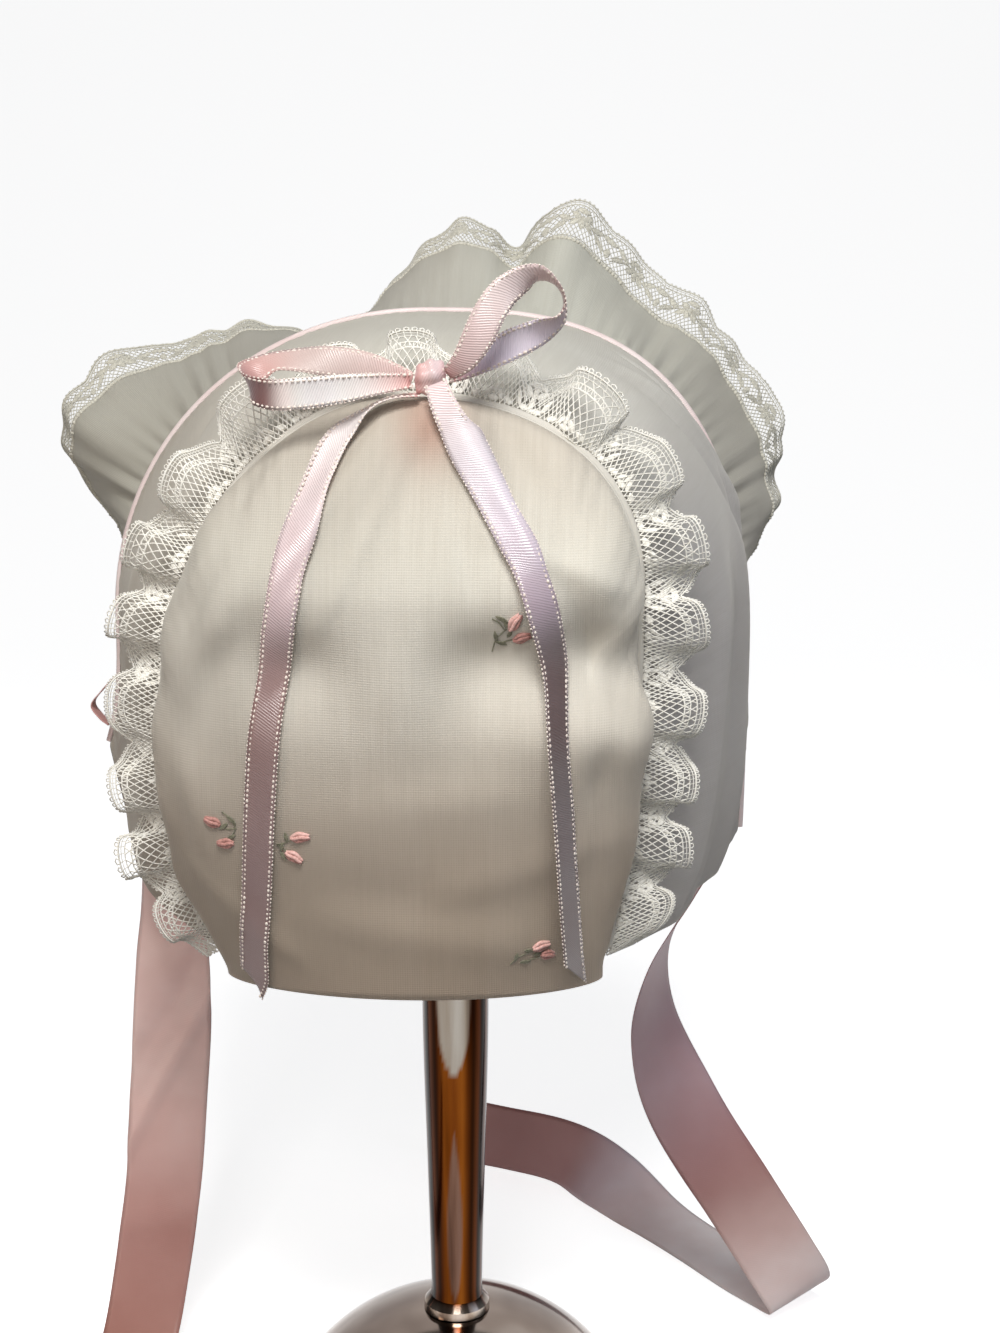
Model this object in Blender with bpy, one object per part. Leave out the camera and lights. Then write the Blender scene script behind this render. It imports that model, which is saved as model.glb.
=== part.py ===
# Baby bonnet of sheer white batiste on a plain metal display stand, shown from
# its gathered back. Metres, +Z up. The origin is the centre of the foot's flat
# underside and the post stands on the Z axis. The gathered back faces -Y and
# the face opening, with its ruffle, faces +Y.

import math
from bisect import bisect_right
from collections import namedtuple

import bmesh
import bpy
import numpy as np
from mathutils import Vector
from mathutils.bvhtree import BVHTree

MM = 0.001

# Walls of the cloths, and the slit kept between neighbouring pieces
CLOTH_WALL = 0.0012
FRILL_WALL = 0.0010
RIBBON_WALL = 0.0008
GAP = 0.0003

# The bonnet from its gathered back to the edge of its face opening
BAND_BACK_Y = -0.0410
BAND_FRONT_Y = 0.0430
LACE_FOOT_Y = BAND_BACK_Y - GAP - 0.8 * FRILL_WALL
PANEL_EDGE_Y = LACE_FOOT_Y - GAP - 0.8 * FRILL_WALL
PIPING_RADIUS = 0.0011
PIPING_POINTS = 56
PIPING_Y = BAND_FRONT_Y + GAP + PIPING_RADIUS
RUFFLE_FOOT_Y = PIPING_Y + PIPING_RADIUS + GAP + 0.2 * FRILL_WALL

# Back panel: how soon its pillow rounds out from the seam, and its hem line
PANEL_ROUND_SHARE = 0.45
PANEL_ROUND_POWER = 2.4
HEM_CORNER_DROP = 0.0045
HEM_Z = 0.1385
PANEL_GATHERS = 15
PANEL_GATHER_HEIGHT = 0.0009

# Lace set into the back seam, and the two widths of the front ruffle
BACK_LACE_WIDTH = 0.0152
BACK_LACE_ROOT = 0.0012
BACK_LACE_FOLDS = 19
BACK_LACE_LEAN = 16.0
BACK_LACE_LEAN_SWING = 11.0
LACE_END_LEFT = 0.0085
LACE_END_RIGHT = 0.0120
LACE_END_SHARE = 0.07
LACE_END_LIFT = 30.0
RUFFLE_CLOTH_WIDTH = 0.0270
RUFFLE_LACE_WIDTH = 0.0145
RUFFLE_RIPPLES = 13
RUFFLE_RIPPLE_ANGLE = 5.0

# Ribbons
TIE_LENGTH = 0.3400
TAIL_EASE = 0.0011
TAIL_RAY_START = 0.2
TIE_CLEARANCE = 2.5 * GAP

# Stand: foot, post and the cap that the crown rests on
FOOT_RADIUS = 0.0450
FOOT_SPHERE = 0.0550
FOOT_EDGE = 0.0015
FOOT_FLAT_RADIUS = 0.0095
CAP_RADIUS = 0.0380
CAP_SPHERE = 0.0600
CAP_EDGE = 0.0040
CAP_CLEARANCE = 0.0011

# Outlines of the band, a row for each section from back to front: the crown and
# its height, then for each side its widest place, the height above which it
# rounds over to the crown, how square that round is, the height of its lower
# corner and how far the corner is tucked inward
Arch = namedtuple(
    "Arch",
    "y crown_x crown_z"
    " left_x left_spring_z left_square left_z left_tuck"
    " right_x right_spring_z right_square right_z right_tuck",
)
ARCHES = (
    Arch(-0.044, -0.0080, 0.2755,
         -0.0645, 0.203, 1.95, 0.1410, 0.0130, 0.0450, 0.234, 2.15, 0.1415, 0.0070),
    Arch(-0.020, -0.0080, 0.2860,
         -0.0770, 0.204, 1.98, 0.1490, 0.0010, 0.0645, 0.215, 2.45, 0.1430, 0.0085),
    Arch(0.012, -0.0085, 0.2908,
         -0.0875, 0.206, 2.02, 0.1590, -0.0010, 0.0744, 0.200, 2.65, 0.1450, 0.0075),
    Arch(0.043, -0.0090, 0.2920,
         -0.0966, 0.207, 2.05, 0.1715, -0.0040, 0.0775, 0.185, 2.80, 0.1490, 0.0005),
    Arch(0.050, -0.0090, 0.2922,
         -0.0974, 0.207, 2.05, 0.1725, -0.0040, 0.0780, 0.185, 2.80, 0.1490, 0.0005),
)
TUCK_POWER = 2.8

# How far the front ruffle turns outward, in degrees from straight forward, at
# its root and in its lace edge, along the face opening from the left corner (0)
# over the crown to the right corner (1)
Flare = namedtuple("Flare", "along root edge")
FLARES = (
    Flare(0.000, 4, 4), Flare(0.060, 6, 8), Flare(0.110, 8, 14), Flare(0.150, 16, 22),
    Flare(0.175, 40, 26), Flare(0.195, 68, 28), Flare(0.213, 80, 32), Flare(0.235, 66, 36),
    Flare(0.265, 40, 32), Flare(0.300, 25, 20), Flare(0.330, 16, 4), Flare(0.375, -4, -6),
    Flare(0.410, 0, -4), Flare(0.440, 22, 14), Flare(0.475, 39, 24), Flare(0.503, 38, 26),
    Flare(0.524, 28, 30), Flare(0.546, 55, 42), Flare(0.570, 44, 48), Flare(0.600, 28, 48),
    Flare(0.630, 22, 46), Flare(0.655, 32, 32), Flare(0.700, 28, 42), Flare(0.740, 30, 28),
    Flare(0.770, 28, 12), Flare(0.795, 14, 4), Flare(0.830, 0, 0), Flare(0.900, 4, 6),
    Flare(1.000, 3, 4),
)
EDGE_TURN_FROM = 0.018
EDGE_TURN_TO = 0.032

# Long soft folds. On the panel a fold runs from one (x, z) to another, on the
# band from one (along, y) to another. Widths and heights are in metres.
Fold = namedtuple("Fold", "from_a from_b to_a to_b width height")
PANEL_FOLDS = (
    Fold(-0.008, 0.270, -0.046, 0.228, 0.0055, 0.0018),
    Fold(-0.022, 0.266, -0.056, 0.205, 0.0050, -0.0014),
    Fold(0.006, 0.268, 0.030, 0.240, 0.0050, 0.0014),
    Fold(0.018, 0.262, 0.042, 0.214, 0.0050, -0.0014),
    Fold(0.044, 0.200, 0.045, 0.160, 0.0040, 0.0018),
    Fold(0.037, 0.196, 0.038, 0.156, 0.0035, -0.0012),
    Fold(-0.056, 0.190, -0.050, 0.158, 0.0045, 0.0014),
    Fold(-0.020, 0.158, 0.016, 0.152, 0.0060, 0.0012),
)
BAND_FOLDS = (
    Fold(0.800, -0.012, 0.960, -0.018, 0.0050, 0.0016),
    Fold(0.815, 0.004, 0.985, 0.000, 0.0050, -0.0014),
    Fold(0.780, 0.018, 0.980, 0.016, 0.0060, 0.0016),
    Fold(0.030, 0.006, 0.170, 0.000, 0.0060, 0.0012),
    Fold(0.250, -0.010, 0.330, 0.020, 0.0060, -0.0010),
)
FOLD_FADE = 0.25
ARCH_LENGTH = 0.355

# Depth of the panel's pillow behind the seam at each height: it leans out from
# the gathers to its fullest line and then hangs in to the hem
Depth = namedtuple("Depth", "z depth")
PANEL_PROFILE = (
    Depth(0.1385, 0.0215), Depth(0.1500, 0.0228), Depth(0.1600, 0.0239), Depth(0.1750, 0.0256),
    Depth(0.1900, 0.0268), Depth(0.2000, 0.0274), Depth(0.2080, 0.0271), Depth(0.2160, 0.0270),
    Depth(0.2220, 0.0276), Depth(0.2280, 0.0285), Depth(0.2340, 0.0290), Depth(0.2430, 0.0278),
    Depth(0.2520, 0.0258), Depth(0.2630, 0.0222), Depth(0.2760, 0.0175),
)

# Swells and dents of the slack panel: place, reach across and down, the slant of
# its long side in degrees, and height
Form = namedtuple("Form", "x z reach_x reach_z slant height")
PANEL_FORMS = (
    Form(0.0350, 0.2232, 0.0140, 0.0085, -15, -0.0034),
    Form(0.0138, 0.2207, 0.0100, 0.0080, 0, -0.0026),
    Form(-0.0430, 0.2185, 0.0140, 0.0085, 10, -0.0030),
    Form(-0.0250, 0.2207, 0.0090, 0.0090, 0, -0.0024),
    Form(-0.0070, 0.2140, 0.0090, 0.0140, 0, 0.0020),
    Form(0.0394, 0.2005, 0.0090, 0.0110, 0, 0.0028),
    Form(0.0227, 0.2017, 0.0080, 0.0090, 0, 0.0018),
)

# Ribbon stations in millimetres: the middle of the ribbon, the direction across
# it and its width there, narrower at the knot and where an end is cut to a point
Station = namedtuple("Station", "x y z across_x across_y across_z width")
LEFT_LOOP = (
    Station(-5.5, -50.6, 280.0, 0.0, 0.0, 1.0, 3.2),
    Station(-9.5, -49.6, 281.2, 0.0, 0.1, 1.0, 4.6),
    Station(-16.0, -48.6, 282.8, 0.0, 0.2, 1.0, 6.4),
    Station(-23.0, -48.4, 283.8, 0.0, 0.3, 1.0, 7.0),
    Station(-31.0, -48.4, 284.3, 0.0, 0.7, 0.7, 7.0),
    Station(-37.5, -49.4, 283.8, -0.1, 0.9, 0.6, 7.0),
    Station(-41.6, -53.2, 281.2, -0.3, 0.4, 0.8, 7.0),
    Station(-41.0, -57.5, 278.5, -0.3, -0.1, 0.9, 7.0),
    Station(-36.0, -60.0, 277.3, -0.2, -0.2, 1.0, 7.0),
    Station(-29.0, -60.5, 277.6, 0.0, -0.2, 1.0, 7.0),
    Station(-20.0, -59.0, 278.6, 0.0, -0.1, 1.0, 6.2),
    Station(-12.0, -56.6, 279.5, 0.0, 0.0, 1.0, 4.6),
    Station(-5.6, -54.2, 280.0, 0.0, 0.0, 1.0, 3.2),
)
RIGHT_LOOP = (
    Station(2.8, -54.4, 281.4, 0.8, 0.0, -0.6, 3.2),
    Station(6.5, -57.0, 284.6, 0.8, 0.0, -0.5, 5.4),
    Station(9.8, -58.5, 290.0, 0.9, 0.0, -0.4, 7.0),
    Station(12.6, -58.5, 295.6, 0.9, 0.1, -0.5, 7.0),
    Station(16.2, -57.5, 300.0, 0.7, 0.4, -0.5, 7.0),
    Station(21.8, -55.5, 302.8, 0.3, 0.7, -0.5, 7.0),
    Station(26.4, -53.0, 301.0, 0.1, 1.0, -0.2, 7.0),
    Station(28.3, -51.0, 297.6, 0.0, 1.0, -0.1, 7.0),
    Station(27.2, -49.8, 293.6, 0.1, 0.9, -0.4, 7.0),
    Station(22.4, -49.0, 290.4, 0.2, 0.5, -0.8, 7.0),
    Station(17.0, -48.8, 287.9, 0.3, 0.2, -0.9, 7.0),
    Station(11.0, -49.2, 284.8, 0.4, 0.0, -0.9, 6.0),
    Station(6.2, -50.0, 282.3, 0.4, 0.0, -0.9, 4.4),
    Station(2.8, -50.6, 280.9, 0.4, 0.0, -0.9, 3.2),
)
LEFT_TAIL = (
    Station(-3.6, -53.6, 276.7, 0.0, -1.0, 0.0, 4.0),
    Station(-9.5, -53.4, 276.2, 0.3, -0.9, 0.1, 5.4),
    Station(-16.0, -55.4, 273.0, 0.7, -0.5, 0.5, 6.4),
    Station(-22.2, -55.0, 265.5, 0.9, -0.2, 0.4, 7.0),
    Station(-28.6, -50.0, 248.5, 1.0, 0.0, 0.2, 7.0),
    Station(-33.2, -50.0, 230.0, 1.0, 0.0, 0.2, 7.0),
    Station(-36.6, -50.0, 209.0, 1.0, 0.0, 0.1, 7.0),
    Station(-38.8, -50.0, 188.0, 1.0, 0.0, 0.1, 7.0),
    Station(-40.6, -50.0, 167.0, 1.0, 0.0, 0.1, 7.0),
    Station(-42.2, -50.0, 151.0, 1.0, 0.1, 0.1, 7.0),
    Station(-42.6, -50.0, 144.0, 1.0, 0.1, 0.1, 6.6),
    Station(-41.4, -50.0, 135.2, 1.0, 0.1, 0.1, 1.4),
)
RIGHT_TAIL = (
    Station(0.2, -57.0, 279.6, 1.0, 0.0, 0.4, 5.0),
    Station(1.9, -58.4, 275.4, 1.0, 0.0, 0.4, 5.8),
    Station(4.6, -59.4, 270.4, 0.9, 0.0, 0.5, 6.8),
    Station(9.0, -50.0, 262.0, 0.9, 0.0, 0.5, 7.0),
    Station(14.6, -50.0, 252.0, 0.9, 0.1, 0.5, 7.0),
    Station(20.6, -50.0, 242.0, 0.9, 0.1, 0.4, 7.0),
    Station(24.4, -50.0, 230.0, 0.9, 0.3, 0.2, 7.0),
    Station(26.6, -50.0, 216.0, 0.8, 0.5, 0.1, 6.8),
    Station(28.0, -50.0, 198.0, 0.8, 0.5, 0.0, 6.4),
    Station(29.0, -50.0, 180.0, 0.8, 0.5, 0.0, 6.2),
    Station(29.8, -50.0, 165.0, 0.8, 0.4, 0.0, 6.4),
    Station(30.6, -50.0, 151.0, 0.9, 0.3, 0.0, 5.6),
    Station(31.4, -50.0, 139.8, 0.9, 0.3, 0.0, 1.4),
)

# How far a bow tail stands up on its right edge, in degrees at each height
Turn = namedtuple("Turn", "z angle")
LEFT_TAIL_TURNS = (Turn(0.130, 0), Turn(0.290, 0))
RIGHT_TAIL_TURNS = (
    Turn(0.139, 30), Turn(0.150, 44), Turn(0.185, 36), Turn(0.215, 34), Turn(0.236, 10),
    Turn(0.250, 0), Turn(0.290, 0),
)
LEFT_TIE = (
    Station(-98.0, 28.0, 190.0, -0.12, 1.0, 0.0, 22.0),
    Station(-97.5, 28.0, 178.0, -0.12, 1.0, 0.0, 22.0),
    Station(-92.0, 27.0, 162.0, -0.30, 1.0, 0.0, 22.0),
    Station(-84.5, 24.0, 145.0, -0.60, 0.8, 0.0, 22.0),
    Station(-80.5, 21.5, 129.0, -0.85, 0.5, 0.0, 22.0),
    Station(-80.0, 20.5, 114.0, -0.97, 0.2, 0.0, 22.0),
    Station(-80.6, 20.0, 98.0, -1.00, 0.0, -0.1, 22.0),
    Station(-82.4, 20.0, 76.0, -1.00, 0.0, -0.1, 22.0),
    Station(-84.5, 19.0, 50.0, -1.00, 0.1, -0.1, 22.0),
    Station(-88.5, 16.0, 22.0, -1.00, 0.1, -0.1, 22.0),
    Station(-91.0, 9.0, 6.0, -1.00, 0.1, -0.05, 22.0),
    Station(-93.0, -6.0, 1.2, -1.00, 0.15, 0.0, 22.0),
    Station(-97.5, -30.0, 1.0, -1.00, 0.25, 0.0, 22.0),
    Station(-105.0, -55.0, 1.0, -1.00, 0.35, 0.0, 22.0),
    Station(-116.0, -80.0, 1.0, -1.00, 0.45, 0.0, 22.0),
    Station(-130.0, -105.0, 1.0, -1.00, 0.50, 0.0, 22.0),
    Station(-145.0, -130.0, 1.0, -1.00, 0.50, 0.0, 22.0),
)
RIGHT_TIE = (
    Station(76.0, 29.0, 172.0, 0.12, 1.0, 0.0, 22.0),
    Station(76.0, 29.0, 158.0, 0.12, 1.0, 0.0, 22.0),
    Station(66.0, 31.0, 136.0, 0.20, 1.0, 0.0, 22.0),
    Station(55.0, 35.0, 113.0, 0.30, 0.95, 0.0, 22.0),
    Station(54.0, 37.5, 92.0, 0.60, 0.8, 0.1, 22.0),
    Station(63.5, 38.0, 66.0, 0.80, 0.3, 0.5, 22.0),
    Station(79.5, 37.5, 40.0, 0.84, 0.1, 0.5, 22.0),
    Station(92.5, 37.5, 19.0, 0.80, 0.2, 0.5, 22.0),
    Station(98.5, 40.0, 7.4, 0.80, 0.4, 0.36, 22.0),
    Station(95.0, 47.5, 2.6, 0.83, 0.52, 0.08, 22.0),
    Station(85.5, 60.0, 1.1, 0.84, 0.55, 0.0, 22.0),
    Station(72.0, 78.5, 1.0, 0.84, 0.55, 0.0, 22.0),
    Station(57.0, 97.0, 2.2, 0.78, 0.6, 0.12, 22.0),
    Station(43.0, 110.0, 7.6, 0.50, 0.55, 0.6, 22.0),
    Station(28.0, 121.0, 11.6, 0.10, 0.2, 1.0, 22.0),
    Station(8.0, 131.0, 11.7, 0.00, 0.1, 1.0, 22.0),
    Station(-14.0, 139.0, 11.7, 0.00, 0.2, 1.0, 22.0),
    Station(-34.0, 145.0, 11.7, 0.00, 0.2, 1.0, 22.0),
)
CORNER_TAB = (
    Station(-99.2, 39.0, 178.0, 0.0, 1.0, 0.0, 4.0),
    Station(-101.8, 39.5, 180.0, 0.0, 1.0, 0.0, 4.8),
    Station(-104.2, 40.0, 183.6, 0.0, 1.0, 0.0, 5.0),
    Station(-101.2, 39.5, 187.8, 0.0, 1.0, 0.0, 4.8),
    Station(-98.1, 39.0, 191.2, 0.0, 1.0, 0.0, 4.0),
)

KNOT_CENTRE = (-1.3 * MM, -52.6 * MM, 280.6 * MM)
KNOT_SIZE = (8.6 * MM, 9.6 * MM, 8.2 * MM)

# Post: radius at each height in metres, with a small bead where it meets the foot
Ring = namedtuple("Ring", "z radius")
POST_RINGS = (
    Ring(0.0000, 0.0090), Ring(0.0010, 0.0092), Ring(0.0024, 0.0086), Ring(0.0036, 0.0072),
    Ring(0.0100, 0.0070), Ring(0.0400, 0.0077), Ring(0.0860, 0.0088), Ring(0.2000, 0.0088),
)


# Removes whatever is in the scene
def clear_scene():
    for item in list(bpy.data.objects):
        bpy.data.objects.remove(item, do_unlink=True)


def linear_colour(hex_code):
    channels = [int(hex_code[i:i + 2], 16) / 255 for i in (0, 2, 4)]
    return [c / 12.92 if c <= 0.04045 else ((c + 0.055) / 1.055) ** 2.4 for c in channels] + [1.0]


def make_material(name, hex_code, roughness, metallic=0.0):
    material = bpy.data.materials.new(name)
    material.use_nodes = True
    shader = material.node_tree.nodes["Principled BSDF"]
    shader.inputs["Base Color"].default_value = linear_colour(hex_code)
    shader.inputs["Roughness"].default_value = roughness
    shader.inputs["Metallic"].default_value = metallic
    return material


def table_slope(rows, index, column):
    before = rows[max(index - 1, 0)]
    after = rows[min(index + 1, len(rows) - 1)]
    return (after[column] - before[column]) / (after[0] - before[0])


# Reads every column of a table at a value of its first column, smoothly
def read_table(rows, key):
    keys = [row[0] for row in rows]
    key = min(max(key, keys[0]), keys[-1])
    index = min(bisect_right(keys, key) - 1, len(rows) - 2)
    low, high = rows[index], rows[index + 1]
    span = high[0] - low[0]
    t = (key - low[0]) / span
    values = []
    for column in range(1, len(low)):
        slope_low = table_slope(rows, index, column) * span
        slope_high = table_slope(rows, index + 1, column) * span
        bend = (1 - t) * ((1 - t) * slope_low - t * slope_high) * t
        blend = t * t * (3 - 2 * t)
        values.append(low[column] * (1 - blend) + high[column] * blend + bend)
    return type(low)(key, *values)


# Spreads a polyline's points evenly along its length
def resample(points, count):
    points = np.array(points)
    steps = np.linalg.norm(np.diff(points, axis=0), axis=1)
    length = np.concatenate(([0.0], np.cumsum(steps)))
    wanted = np.linspace(0.0, length[-1], count)
    return np.stack([np.interp(wanted, length, points[:, axis]) for axis in range(3)], axis=1)


# One side of the band's outline, from its lower corner up to the crown
def half_outline(y, side_x, spring_z, square, corner_z, tuck, crown_x, crown_z):
    inward = math.copysign(1.0, crown_x - side_x)
    side_steps, top_steps = 24, 48
    outline = []
    for step in range(side_steps):
        t = step / side_steps
        x = side_x + inward * tuck * (1 - t) ** TUCK_POWER
        outline.append((x, y, corner_z + (spring_z - corner_z) * t))
    for step in range(top_steps + 1):
        angle = 0.5 * math.pi * step / top_steps
        across = abs(math.cos(angle)) ** (2 / square)
        up = abs(math.sin(angle)) ** (2 / square)
        x = crown_x + (side_x - crown_x) * across
        outline.append((x, y, spring_z + (crown_z - spring_z) * up))
    return outline


# The band's outline at a depth y, evenly spaced from its left corner over the
# crown to its right corner
def arch_outline(y, count):
    row = read_table(ARCHES, y)
    left = half_outline(
        y, row.left_x, row.left_spring_z, row.left_square, row.left_z, row.left_tuck,
        row.crown_x, row.crown_z)
    right = half_outline(
        y, row.right_x, row.right_spring_z, row.right_square, row.right_z, row.right_tuck,
        row.crown_x, row.crown_z)
    return resample(left + right[-2::-1], count)


# Directions that point out of an outline, in its own plane
def outward_directions(outline):
    along = np.gradient(outline, axis=0)
    out = np.stack([-along[:, 2], np.zeros(len(outline)), along[:, 0]], axis=1)
    return out / np.linalg.norm(out, axis=1)[:, None]


def grid_normals(points):
    down = np.gradient(points, axis=0)
    along = np.gradient(points, axis=1)
    normals = np.cross(down, along)
    return normals / np.linalg.norm(normals, axis=2)[:, :, None]


# Height of a set of folds at a place on their surface
def fold_height(folds, a, b, scale_a=1.0):
    height = 0.0
    for fold in folds:
        run_a = (fold.to_a - fold.from_a) * scale_a
        run_b = fold.to_b - fold.from_b
        off_a = (a - fold.from_a) * scale_a
        off_b = b - fold.from_b
        length_squared = run_a ** 2 + run_b ** 2
        t = (off_a * run_a + off_b * run_b) / length_squared
        side = abs(off_a * run_b - off_b * run_a) / math.sqrt(length_squared)
        past_end = max(-t, t - 1, 0.0)
        height += fold.height * math.exp(-(side / fold.width) ** 2 - (past_end / FOLD_FADE) ** 2)
    return height


# Makes a closed wall from a grid of points. The wall grows inward from the grid
# with offset -1, and to both sides with offset 0.
def wall_object(name, points, wall, offset, material, flip=False):
    rows, columns = points.shape[:2]
    faces = []
    for i in range(rows - 1):
        for j in range(columns - 1):
            corner = i * columns + j
            face = (corner, corner + columns, corner + columns + 1, corner + 1)
            faces.append(face[::-1] if flip else face)
    mesh = bpy.data.meshes.new(name)
    mesh.from_pydata(points.reshape(-1, 3).tolist(), [], faces)
    mesh.shade_smooth()
    mesh.materials.append(material)
    item = bpy.data.objects.new(name, mesh)
    bpy.context.collection.objects.link(item)
    solidify = item.modifiers.new("wall", "SOLIDIFY")
    solidify.thickness = wall
    solidify.offset = offset
    return item


# A turned solid about the Z axis from (radius, z) points, bottom to top, whose
# first and last points lie on the axis
def turned_object(name, profile, sides, material):
    shape = bmesh.new()
    rings = []
    for radius, z in profile:
        if radius == 0.0:
            rings.append([shape.verts.new((0.0, 0.0, z))])
            continue
        angles = [2 * math.pi * k / sides for k in range(sides)]
        rings.append([shape.verts.new((radius * math.cos(a), radius * math.sin(a), z)) for a in angles])
    for low, high in zip(rings, rings[1:]):
        for k in range(sides):
            n = (k + 1) % sides
            if len(low) == 1:
                shape.faces.new((low[0], high[n], high[k]))
            elif len(high) == 1:
                shape.faces.new((low[k], low[n], high[0]))
            else:
                shape.faces.new((low[k], low[n], high[n], high[k]))
    mesh = bpy.data.meshes.new(name)
    shape.to_mesh(mesh)
    shape.free()
    mesh.shade_smooth()
    mesh.set_sharp_from_angle(angle=math.radians(40))
    mesh.materials.append(material)
    item = bpy.data.objects.new(name, mesh)
    bpy.context.collection.objects.link(item)
    return item


def make_side_band(material):
    columns, rows = 49, 8
    depths = np.linspace(BAND_BACK_Y, BAND_FRONT_Y, rows)
    points = np.array([arch_outline(y, columns) for y in depths])
    normals = -grid_normals(points)
    for i, y in enumerate(depths):
        edge = min(1.0, 6 * i / (rows - 1), 6 * (rows - 1 - i) / (rows - 1))
        for j in range(columns):
            height = fold_height(BAND_FOLDS, j / (columns - 1), y, ARCH_LENGTH)
            points[i, j] += normals[i, j] * height * edge
    return wall_object("side_band", points, CLOTH_WALL, -1, material, flip=True)


def form_height(forms, x, z):
    height = 0.0
    for form in forms:
        turn = math.radians(form.slant)
        off_x = (x - form.x) * math.cos(turn) + (z - form.z) * math.sin(turn)
        off_z = (z - form.z) * math.cos(turn) - (x - form.x) * math.sin(turn)
        height += form.height * math.exp(-(off_x / form.reach_x) ** 2 - (off_z / form.reach_z) ** 2)
    return height


# Height of the back panel's pillow over the seam plane
def panel_depth(along, down, z):
    swell = math.sin(math.pi * along) ** 0.6
    out = min(down / PANEL_ROUND_SHARE, 1.0)
    rise = (1 - (1 - out) ** PANEL_ROUND_POWER) ** (1 / PANEL_ROUND_POWER)
    return read_table(PANEL_PROFILE, z).depth * rise * swell


def panel_points(columns, rows):
    seam = arch_outline(PANEL_EDGE_Y, columns)
    levels = [(i / (rows - 1)) ** 1.5 for i in range(rows)]
    points = np.zeros((rows, columns, 3))
    for j in range(columns):
        along = j / (columns - 1)
        hem_x = seam[0, 0] + (seam[-1, 0] - seam[0, 0]) * along
        corner_z = seam[0, 2] + (seam[-1, 2] - seam[0, 2]) * along - HEM_CORNER_DROP
        hem_z = corner_z + (HEM_Z - corner_z) * math.sin(math.pi * along)
        for i, down in enumerate(levels):
            x = seam[j, 0] + (hem_x - seam[j, 0]) * down
            z = seam[j, 2] + (hem_z - seam[j, 2]) * down
            points[i, j] = (x, PANEL_EDGE_Y - panel_depth(along, down, z), z)
    normals = grid_normals(points)
    for j in range(columns):
        along = j / (columns - 1)
        gather = math.cos(2 * math.pi * PANEL_GATHERS * along)
        for i, down in enumerate(levels):
            near_seam = min(down / 0.04, 1.0) * math.exp(-down / 0.14)
            inside = math.sin(math.pi * along) ** 0.5
            height = PANEL_GATHER_HEIGHT * gather * near_seam
            height += fold_height(PANEL_FOLDS, points[i, j, 0], points[i, j, 2])
            height += form_height(PANEL_FORMS, points[i, j, 0], points[i, j, 2])
            points[i, j] += normals[i, j] * height * inside * min(down / 0.04, 1.0)
    return points


def make_back_panel(material):
    points = panel_points(49, 17)
    return wall_object("back_panel", points, CLOTH_WALL, -1, material)


# Points of a frill: it leaves its foot line at a start width and turns outward
# from the forward direction by the angle that angle_at(column, width) gives
def frill_points(foot, widths, angle_at, directions):
    step = 0.0005
    points = np.zeros((len(widths), len(foot), 3))
    for j in range(len(foot)):
        place = np.array(foot[j])
        done = 0.0
        for i, width in enumerate(widths):
            while abs(width - done) > 1e-9:
                move = max(-step, min(step, width - done))
                angle = angle_at(j, done)
                heading = directions[j] * math.sin(angle) + np.array((0, math.cos(angle), 0))
                place = place + heading * move
                done += move
            points[i, j] = place
    return points


def ruffle_angle(along, width):
    share = width / (RUFFLE_CLOTH_WIDTH + RUFFLE_LACE_WIDTH)
    row = read_table(FLARES, along)
    t = min(1.0, max(0.0, (width - EDGE_TURN_FROM) / (EDGE_TURN_TO - EDGE_TURN_FROM)))
    flare = row.root + (row.edge - row.root) * t * t * (3 - 2 * t)
    ripple = RUFFLE_RIPPLE_ANGLE * share * math.sin(2 * math.pi * RUFFLE_RIPPLES * along)
    return math.radians(flare + ripple)


def make_front_ruffle(cloth, lace):
    columns = 81
    foot = arch_outline(RUFFLE_FOOT_Y, columns)
    directions = outward_directions(foot)

    def angle_at(j, width):
        return ruffle_angle(j / (columns - 1), width)

    seam = RUFFLE_CLOTH_WIDTH
    cloth_widths = [0.0002, 0.25 * seam, 0.5 * seam, 0.75 * seam, seam]
    points = frill_points(foot, cloth_widths, angle_at, directions)
    wall_object("front_ruffle", points, FRILL_WALL, 0, cloth, flip=True)
    first = seam + 2 * GAP
    lace_widths = [first, first + 0.5 * RUFFLE_LACE_WIDTH, seam + RUFFLE_LACE_WIDTH]
    points = frill_points(foot, lace_widths, angle_at, directions)
    wall_object("ruffle_lace", points, FRILL_WALL, 0, lace, flip=True)


# The lace ring stands out from the back seam, leans forward and is laid in
# soft folds. It narrows at both ends, and its right end is lifted a little.
def make_back_lace(material):
    columns = 91
    foot = arch_outline(LACE_FOOT_Y, columns)
    directions = outward_directions(foot)
    rows = 4
    points = np.zeros((rows, columns, 3))
    for j in range(columns):
        along = j / (columns - 1)
        end = min(along, 1 - along)
        left = along < 0.5
        end_width = LACE_END_LEFT if left else LACE_END_RIGHT
        width = end_width + (BACK_LACE_WIDTH - end_width) * min(1.0, end / LACE_END_SHARE)
        turn = 0.0 if left else math.radians(LACE_END_LIFT) * max(0.0, 1 - end / LACE_END_SHARE)
        out = directions[j]
        out = np.array((
            out[0] * math.cos(turn) - out[2] * math.sin(turn),
            0.0,
            out[0] * math.sin(turn) + out[2] * math.cos(turn),
        ))
        fold = math.sin(2 * math.pi * BACK_LACE_FOLDS * along)
        for i in range(rows):
            t = i / (rows - 1)
            reach = (width + BACK_LACE_ROOT) * t ** 1.2 - BACK_LACE_ROOT
            share = max(0.0, reach / BACK_LACE_WIDTH)
            lean = math.radians((BACK_LACE_LEAN + BACK_LACE_LEAN_SWING * fold) * share ** 0.7)
            heading = out * math.cos(lean) + np.array((0, math.sin(lean), 0))
            points[i, j] = foot[j] + heading * reach
    return wall_object("back_lace", points, FRILL_WALL, 0, material)


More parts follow.
